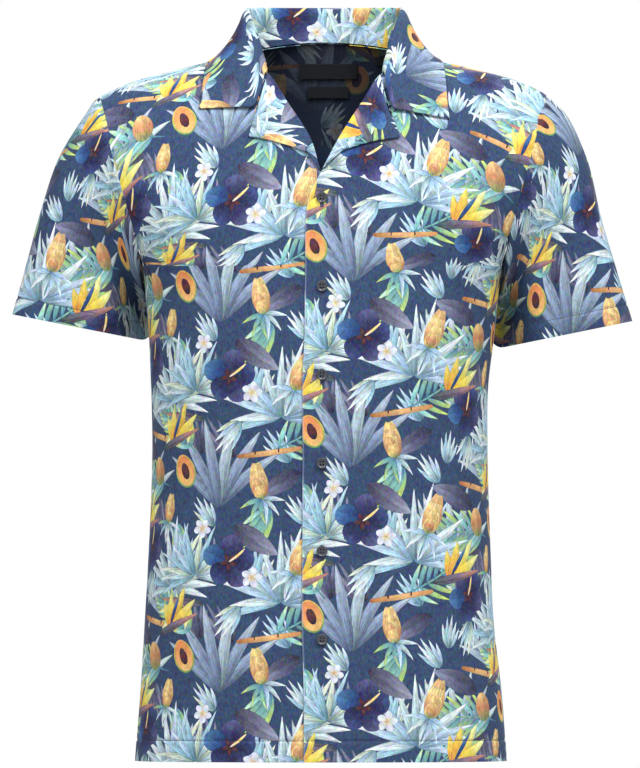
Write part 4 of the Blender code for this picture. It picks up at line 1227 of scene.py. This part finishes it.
def sleeve_points(side, along, around):
    """Points on a sleeve at places along and around it."""
    crown_out, crown_drop, under_out, under_back, under_drop, *walls = through(SLEEVES[side], along)
    front, back, lift = walls
    across, deep = oval_deep(around), oval_out(around)
    crown_lean = NECK_LEAN * (1 - along) ** 2
    out = (crown_out + under_out) / 2 + (crown_out - under_out) / 2 * across
    y = under_back / 2 * (1 - across) - np.where(deep > 0, front, back) * deep
    z = -(crown_drop + under_drop) / 2 + (under_drop - crown_drop) / 2 * across
    turn = np.degrees(around) % 360
    raised = smooth_step((turn - RISE.turn) / RISE.wide) * (1 - smooth_step((turn - FALL.turn) / FALL.wide))
    sway = crown_lean * (1 + across) / 2 + TORSO[0].lean * (1 - across) / 2 * (1 - along)
    step = ARMHOLE_STEP * (1 + np.cos(around)) / 2 + ARMHOLE_GAP
    out = out + step * np.clip(1 - along / STEP_FADE, 0, 1)
    # The soft fold down the inner front, behind which the sleeve turns back under the arm
    for fold in FOLD:
        reached = np.exp(-(((turn - fold.turn) / fold.wide) ** 2)) * smooth_step((along - 0.2) / 0.5)
        y = y + fold.back * reached
    z = z + lift * raised
    # Low under the arm its back rests against the side of the body
    nearness = ((y - REST_BACK) / REST_DEEP) ** 2 + ((z + REST_DROP) / REST_HIGH) ** 2
    out = out - REST * np.exp(-nearness) * (1 - across) / 2
    return np.stack([side * out + sway, y, z], -1)


SLEEVE_CREASES = {
    RIGHT: [
        (92, 150, 96, 120, 16, -1.5, 0.06), (52, 90, 78, 130, 17, 1.0, -0.05),
        (120, 70, 108, 100, 15, -1.3, 0.08), (-85, 120, 80, 130, 17, -1.5, 0.06),
        (-130, 70, 100, 100, 15, -1.2, -0.06),
    ],
    LEFT: [
        (-95, 145, 84, 120, 16, -1.5, -0.06), (-50, 95, 102, 130, 17, 1.0, 0.05),
        (-122, 72, 74, 100, 15, -1.3, -0.08), (88, 118, 98, 130, 17, -1.4, -0.06),
        (128, 66, 82, 100, 15, -1.2, 0.06),
    ],
}
SLEEVE_PRINTS = {RIGHT: PrintPlace(64, 90, -14), LEFT: PrintPlace(130, 35, 16)}
sleeve_tables = {}
for side, wearers in SIDES.items():
    start = np.array([0, 1, 2, 3.5, 5.5]) / SLEEVE_LENGTH
    hem = 1 - np.array([24, 21, 19.6, 18.7, 18, 17.3, 16.4, 15, 11, 7, 3.5, 1.5, 0]) / SLEEVE_LENGTH
    along = np.concatenate([start, np.linspace(9 / SLEEVE_LENGTH, 1 - 28 / SLEEVE_LENGTH, 36), hem])
    half = np.concatenate([np.linspace(0, 0.955, 36), [0.97, 0.98, 0.988, 0.994, 1.0]]) * (np.pi - SLIT)
    around = np.concatenate([-half[:0:-1], half])
    points = sleeve_points(side, along[:, None], around[None, :])
    chart = chart_of(points, -1, len(half) - 1, mirror=-side)
    points = hemmed(creased(points, chart, SLEEVE_CREASES[side]), chart, SLEEVE_HEM)
    points = seamed(points, chart, columns=(0, -1), rows=(0,))
    sleeve_tables[side] = points, chart
    # The seam allowance, turned in under the body's edge
    normals = outward(points, chart)
    inward = unit(points[0] - points[2])
    under = [points[0] + inward * far - normals[0] * deep for far, deep, _ in ALLOWANCE]
    chart = np.concatenate([[chart[0] + (0, printed) for _, _, printed in ALLOWANCE], chart])
    points = np.concatenate([under, points])
    cut_jersey("sleeve_" + wearers, points, chart, SLEEVE_PRINTS[side], hem_walls(chart, SLEEVE_HEM))


# ---- Stitching ----------------------------------------------------------------------------------
# Navy polyester lockstitch holds the body's hem 22 mm up and the sleeves' 18 mm up, with a short
# second line beside each side seam. Each buttonhole is an upright slit between two rows of close
# bar stitches, and black thread holds the ends of the labels.
def make_thread(name, colour):
    """Spun polyester thread: matt, in one dark colour."""
    made, _, surface = new_finish(name, 0.6)
    surface["Base Color"].default_value = (*linear(colour), 1)
    return made


navy_thread = make_thread("navy_polyester_thread", "#1d2346")
black_thread = make_thread("black_polyester_thread", "#0c0d10")


def make_stitch_tree():
    """Rounded stitches one after another along lines: either down the line or laid across it."""
    tree = bpy.data.node_groups.new("stitches_along_a_line", "GeometryNodeTree")
    tree.interface.new_socket("Lines", in_out="INPUT", socket_type="NodeSocketGeometry")
    for name in ("Pitch", "Length", "Thickness"):
        tree.interface.new_socket(name, in_out="INPUT", socket_type="NodeSocketFloat")
    tree.interface.new_socket("Thread", in_out="INPUT", socket_type="NodeSocketMaterial")
    tree.interface.new_socket("Stitches", in_out="OUTPUT", socket_type="NodeSocketGeometry")
    given = add(tree, "NodeGroupInput").outputs
    curve = add(tree, "GeometryNodeMeshToCurve", {0: given["Lines"]})
    path = add(tree, "GeometryNodeResampleCurve", {"Curve": curve, "Length": given["Pitch"]}, mode="LENGTH")
    tangent = add(tree, "GeometryNodeInputTangent")
    turn = add(tree, "FunctionNodeAlignRotationToVector", {"Vector": tangent}, axis="X")
    stitch = add(tree, "GeometryNodeMeshUVSphere", {"Segments": 6, "Rings": 5, "Radius": 0.5})
    size = add(tree, JOIN, {0: given["Length"], 1: given["Thickness"], 2: given["Thickness"]})
    laid = {"Points": path, "Instance": stitch, "Rotation": turn, "Scale": size}
    placed = add(tree, "GeometryNodeInstanceOnPoints", laid)
    real = add(tree, "GeometryNodeRealizeInstances", {0: placed})
    threaded = add(tree, "GeometryNodeSetMaterial", {"Geometry": real, "Material": given["Thread"]})
    add(tree, "NodeGroupOutput", {"Stitches": threaded})
    return tree


stitch_tree = make_stitch_tree()


def settled(guide):
    """The plain mesh that an object's modifiers leave, in place of the object."""
    mesh = bpy.data.meshes.new_from_object(guide.evaluated_get(bpy.context.evaluated_depsgraph_get()))
    bpy.data.objects.remove(guide)
    mesh.shade_smooth()
    return mesh


def sew(name, lines, **sizes):
    """One joined mesh of stitches along some lines of points."""
    starts = np.cumsum([0] + [len(line) for line in lines])
    edges = [(k, k + 1) for start, end in zip(starts, starts[1:]) for k in range(start, end - 1)]
    guide = in_room(name + "_lines", mesh_of(name + "_lines", np.concatenate(lines), edges))
    sewing = guide.modifiers.new("stitches", "NODES")
    sewing.node_group = stitch_tree
    for socket in stitch_tree.interface.items_tree:
        if socket.name in sizes:
            sewing[socket.identifier] = sizes[socket.name]
    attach(in_room(name, settled(guide)), "root")


OFF_CLOTH = 0.00012
# The second line of the hem: over how many of a table's columns it runs, and how far below the first
DOUBLED, SECOND_LINE = 7, 4.5


def line_up(points, chart, height, first=0, last=None):
    """The line across a piece at a height above its hem, in mm, standing just off the cloth."""
    up = above_hem(chart)
    places = points + outward(points, chart) * OFF_CLOTH
    line = []
    for column in range(points.shape[1])[first:last]:
        line.append([np.interp(height, up[::-1, column], axis) for axis in places[::-1, column].T])
    return np.array(line)


hem_lines = []
for table in (front_tables[RIGHT], front_tables[LEFT], (back_points, back_chart)):
    hem_lines.append(line_up(*table, BODY_HEM / MM))
    hem_lines.append(line_up(*table, BODY_HEM / MM - SECOND_LINE, first=-DOUBLED))
hem_lines.append(line_up(*table, BODY_HEM / MM - SECOND_LINE, last=DOUBLED))
hem_lines += [line_up(*sleeve_tables[side], SLEEVE_HEM / MM) for side in SIDES]
sew("hem_stitches", hem_lines, Thread=navy_thread, Pitch=0.0030, Length=0.0027, Thickness=0.0006)
sew("label_stitches", label_rims, Thread=black_thread, Pitch=0.0012, Length=0.0009, Thickness=0.0004)

FIRST_BUTTON_DROP = 0.152
BUTTON_PITCH = 0.0906
BUTTON_COUNT = 6
BUTTON_X = 0.001
BUTTON_DROPS = FIRST_BUTTON_DROP + BUTTON_PITCH * np.arange(BUTTON_COUNT)
# A buttonhole's ends over and under its button, and the bar stitches down each side of it: how far
# from the slit, half their length, and how many
HOLE_TOP, HOLE_FOOT = 0.0060, -0.0098
BAR_OUT = 0.00075
BAR_HALF = 0.00052
BARS = 46


def on_placket(drop, beside, lift):
    """Points down the line of the buttons, or beside it, at a lift from the body."""
    level = level_at(LEFT, 0.0, drop)
    reach = reach_at(LEFT, level, LEFT * (BUTTON_X + beside - lean(level)))
    return lifted(LEFT, FRONT, reach, level, OVERLAP_LIFT + lift + 0 * level)


slits, bars = [], []
for drop in BUTTON_DROPS:
    down = drop - np.linspace(HOLE_TOP, HOLE_FOOT, 12)
    slits.append(on_placket(down, 0.0, 0.0001))
    for beside in (-BAR_OUT, BAR_OUT):
        side_line = on_placket(down, beside, 0.0001)
        steps, key = np.linspace(0, 1, BARS), np.linspace(0, 1, len(down))
        for place in np.stack([np.interp(steps, key, row) for row in side_line.T], -1):
            bars.append(place + np.array([[-BAR_HALF, 0, 0], [BAR_HALF, 0, 0]]))
sew("buttonhole_slits", slits, Thread=black_thread, Pitch=0.0010, Length=0.0016, Thickness=0.0004)
sew("buttonhole_stitches", bars, Thread=navy_thread, Pitch=0.0020, Length=0.0013, Thickness=0.0004)


# ---- Buttons ------------------------------------------------------------------------------------
# Six round four-hole buttons of cast black polyester, turned with a raised rim and a shallow
# dish. Each is sewn to the under front through its holes with charcoal polyester thread, and comes
# up through its buttonhole.
BUTTON_GAP = 0.0006
HOLE_RADIUS = 0.00095
HOLE_SPREAD = 0.0021
DRILL_STEPS, DRILL_FOOT, DRILL_TOP = 16, 0.002, -0.005
THREAD_OUT = HOLE_SPREAD * 0.72
THREAD_HALF_GAP = 0.0002
# Each doubled thread's y, and its height as a share of half the holes' spread: up through one hole,
# down the face and back through the other
THREAD_PATH = [(0.0003, 1), (-0.0014, 0.98), (-0.0020, 0.8), (-0.0020, -0.8), (-0.0014, -0.98), (0.0003, -1)]
# The button's radius at heights from its back, over the rim, to the dish in its face
BUTTON_TURNS = [
    (0.00480, 0.00000), (0.00540, 0.00045), (0.00565, 0.00085), (0.00570, 0.00130), (0.00562, 0.00185),
    (0.00545, 0.00222), (0.00515, 0.00238), (0.00480, 0.00238), (0.00448, 0.00224), (0.00415, 0.00192),
    (0.00375, 0.00175), (0.00330, 0.00170),
]
ROUND_STEPS = 48


def turned_solid(profile, steps, x=0.0, z=0.0):
    """The points and faces of a closed solid of rings, each given by its radius and y."""
    angle = np.linspace(0, 2 * np.pi, steps + 1)[:-1]
    across, up = np.cos(angle), np.sin(angle)
    rings = [np.stack([x + radius * across, y + 0 * angle, z + radius * up], -1) for radius, y in profile]
    number = np.arange(len(rings) * steps).reshape(len(rings), steps)
    beside = np.roll(number, -1, 1)
    sides = np.stack([number[:-1], beside[:-1], beside[1:], number[1:]], -1).reshape(-1, 4)
    return np.concatenate(rings), [*sides.tolist(), number[0, ::-1].tolist(), number[-1].tolist()]


def make_cast_polyester():
    """Black cast polyester: smooth and softly glossy, a little cloudy inside."""
    made, tree, surface = new_finish("black_cast_polyester", 0.36, 0.38)
    spot = add(tree, "ShaderNodeTexCoord").outputs["Object"]
    cloud = add(tree, NOISE, {"Vector": spot, "Scale": 260.0})
    shades = {0: cloud, 6: (*linear("#1f2127"), 1), 7: (*linear("#2e3038"), 1)}
    shade = add(tree, MIX, shades, data_type="RGBA")
    tree.links.new(shade.outputs[2], surface["Base Color"])
    return made


cast_polyester = make_cast_polyester()
button_profile = [(radius, -height) for radius, height in BUTTON_TURNS]
blank_points, blank_faces = turned_solid(button_profile, ROUND_STEPS)
blank = in_room("button_blank", mesh_of("button_blank", blank_points, faces=blank_faces))
blank.data.materials.append(cast_polyester)
drill_points, drill_faces = [], []
for turn in np.radians([45, 135, 225, 315]):
    x, z = math.cos(turn) * HOLE_SPREAD, math.sin(turn) * HOLE_SPREAD
    points, faces = turned_solid([(HOLE_RADIUS, DRILL_FOOT), (HOLE_RADIUS, DRILL_TOP)], DRILL_STEPS, x, z)
    drill_faces += [[corner + len(drill_points) for corner in face] for face in faces]
    drill_points += points.tolist()
drills = in_room("drills", mesh_of("drills", drill_points, faces=drill_faces))
drilled = blank.modifiers.new("holes", "BOOLEAN")
drilled.operation = "DIFFERENCE"
drilled.object = drills
button_mesh = settled(blank)
bpy.data.objects.remove(drills)
button_mesh.set_sharp_from_angle(angle=math.radians(40))

strands = []
depth, height = np.array(THREAD_PATH).T
for number, drop in enumerate(BUTTON_DROPS, 1):
    seat = on_placket(drop, 0.0, BUTTON_GAP)
    mesh = button_mesh.copy()
    mesh.transform(Matrix.Translation(seat))
    on_shirt(f"button_{number}_cast", mesh, f"button_{number}")
    for x in (-THREAD_OUT, THREAD_OUT):
        for beside in (-THREAD_HALF_GAP, THREAD_HALF_GAP):
            strands.append(seat + np.stack([x + beside + 0 * height, depth, height * HOLE_SPREAD / 2], -1))
button_thread = make_thread("charcoal_polyester_thread", "#2a2c32")
sew("button_threads", strands, Thread=button_thread, Pitch=0.00025, Length=0.0005, Thickness=0.0004)


# ---- Floor, light and camera --------------------------------------------------------------------
# A plain sheet of matt pale grey paper a little under the shirt, broad soft lights from above, and a
# long lens straight in front.
FLOOR_DROP, FLOOR_HALF = 0.06, 3.0
floor_height = cad_low.z - FLOOR_DROP
corners = [(x * FLOOR_HALF, y * FLOOR_HALF, floor_height) for x, y in ((-1, -1), (1, -1), (1, 1), (-1, 1))]
floor = in_room("floor", mesh_of("floor", corners, faces=[(0, 1, 2, 3)]))
paper, _, paper_surface = new_finish("matt_pale_paper", 0.9)
paper_surface["Base Color"].default_value = (*linear("#b4b4b4"), 1)
floor.data.materials.append(paper)

world = bpy.data.worlds.new("studio")
bpy.context.scene.world = world
world.use_nodes = True
world.node_tree.nodes["Background"].inputs["Color"].default_value = (1, 1, 1, 1)
world.node_tree.nodes["Background"].inputs["Strength"].default_value = 1.0

LIT_MIDDLE = Vector((0, 0, -0.3))
Softbox = namedtuple("Softbox", "name place size watts")
for box in [
    Softbox("key", (1.5, -2.5, 3.4), 1.0, 345),
    Softbox("fill", (-1.6, -2.8, 2.6), 1.6, 175),
    Softbox("back", (0.9, 3.0, 2.4), 1.6, 110),
]:
    lamp = bpy.data.lights.new(box.name, "AREA")
    lamp.size = box.size
    lamp.energy = box.watts
    light = in_room(box.name, lamp)
    light.location = box.place
    light.rotation_euler = (LIT_MIDDLE - light.location).to_track_quat("-Z", "Y").to_euler()

VIEW_HEIGHT, VIEW_MIDDLE_X, VIEW_MIDDLE_Z, CAMERA_AWAY = 0.791, -0.001, -0.343, 24.0
lens = bpy.data.cameras.new("camera")
lens.sensor_width = 36
lens.lens = 36 * CAMERA_AWAY / VIEW_HEIGHT
camera = in_room("camera", lens)
camera.location = (VIEW_MIDDLE_X, -CAMERA_AWAY, VIEW_MIDDLE_Z)
camera.rotation_euler = (math.pi / 2, 0, 0)
bpy.context.scene.camera = camera
bpy.context.scene.view_settings.view_transform = "Standard"
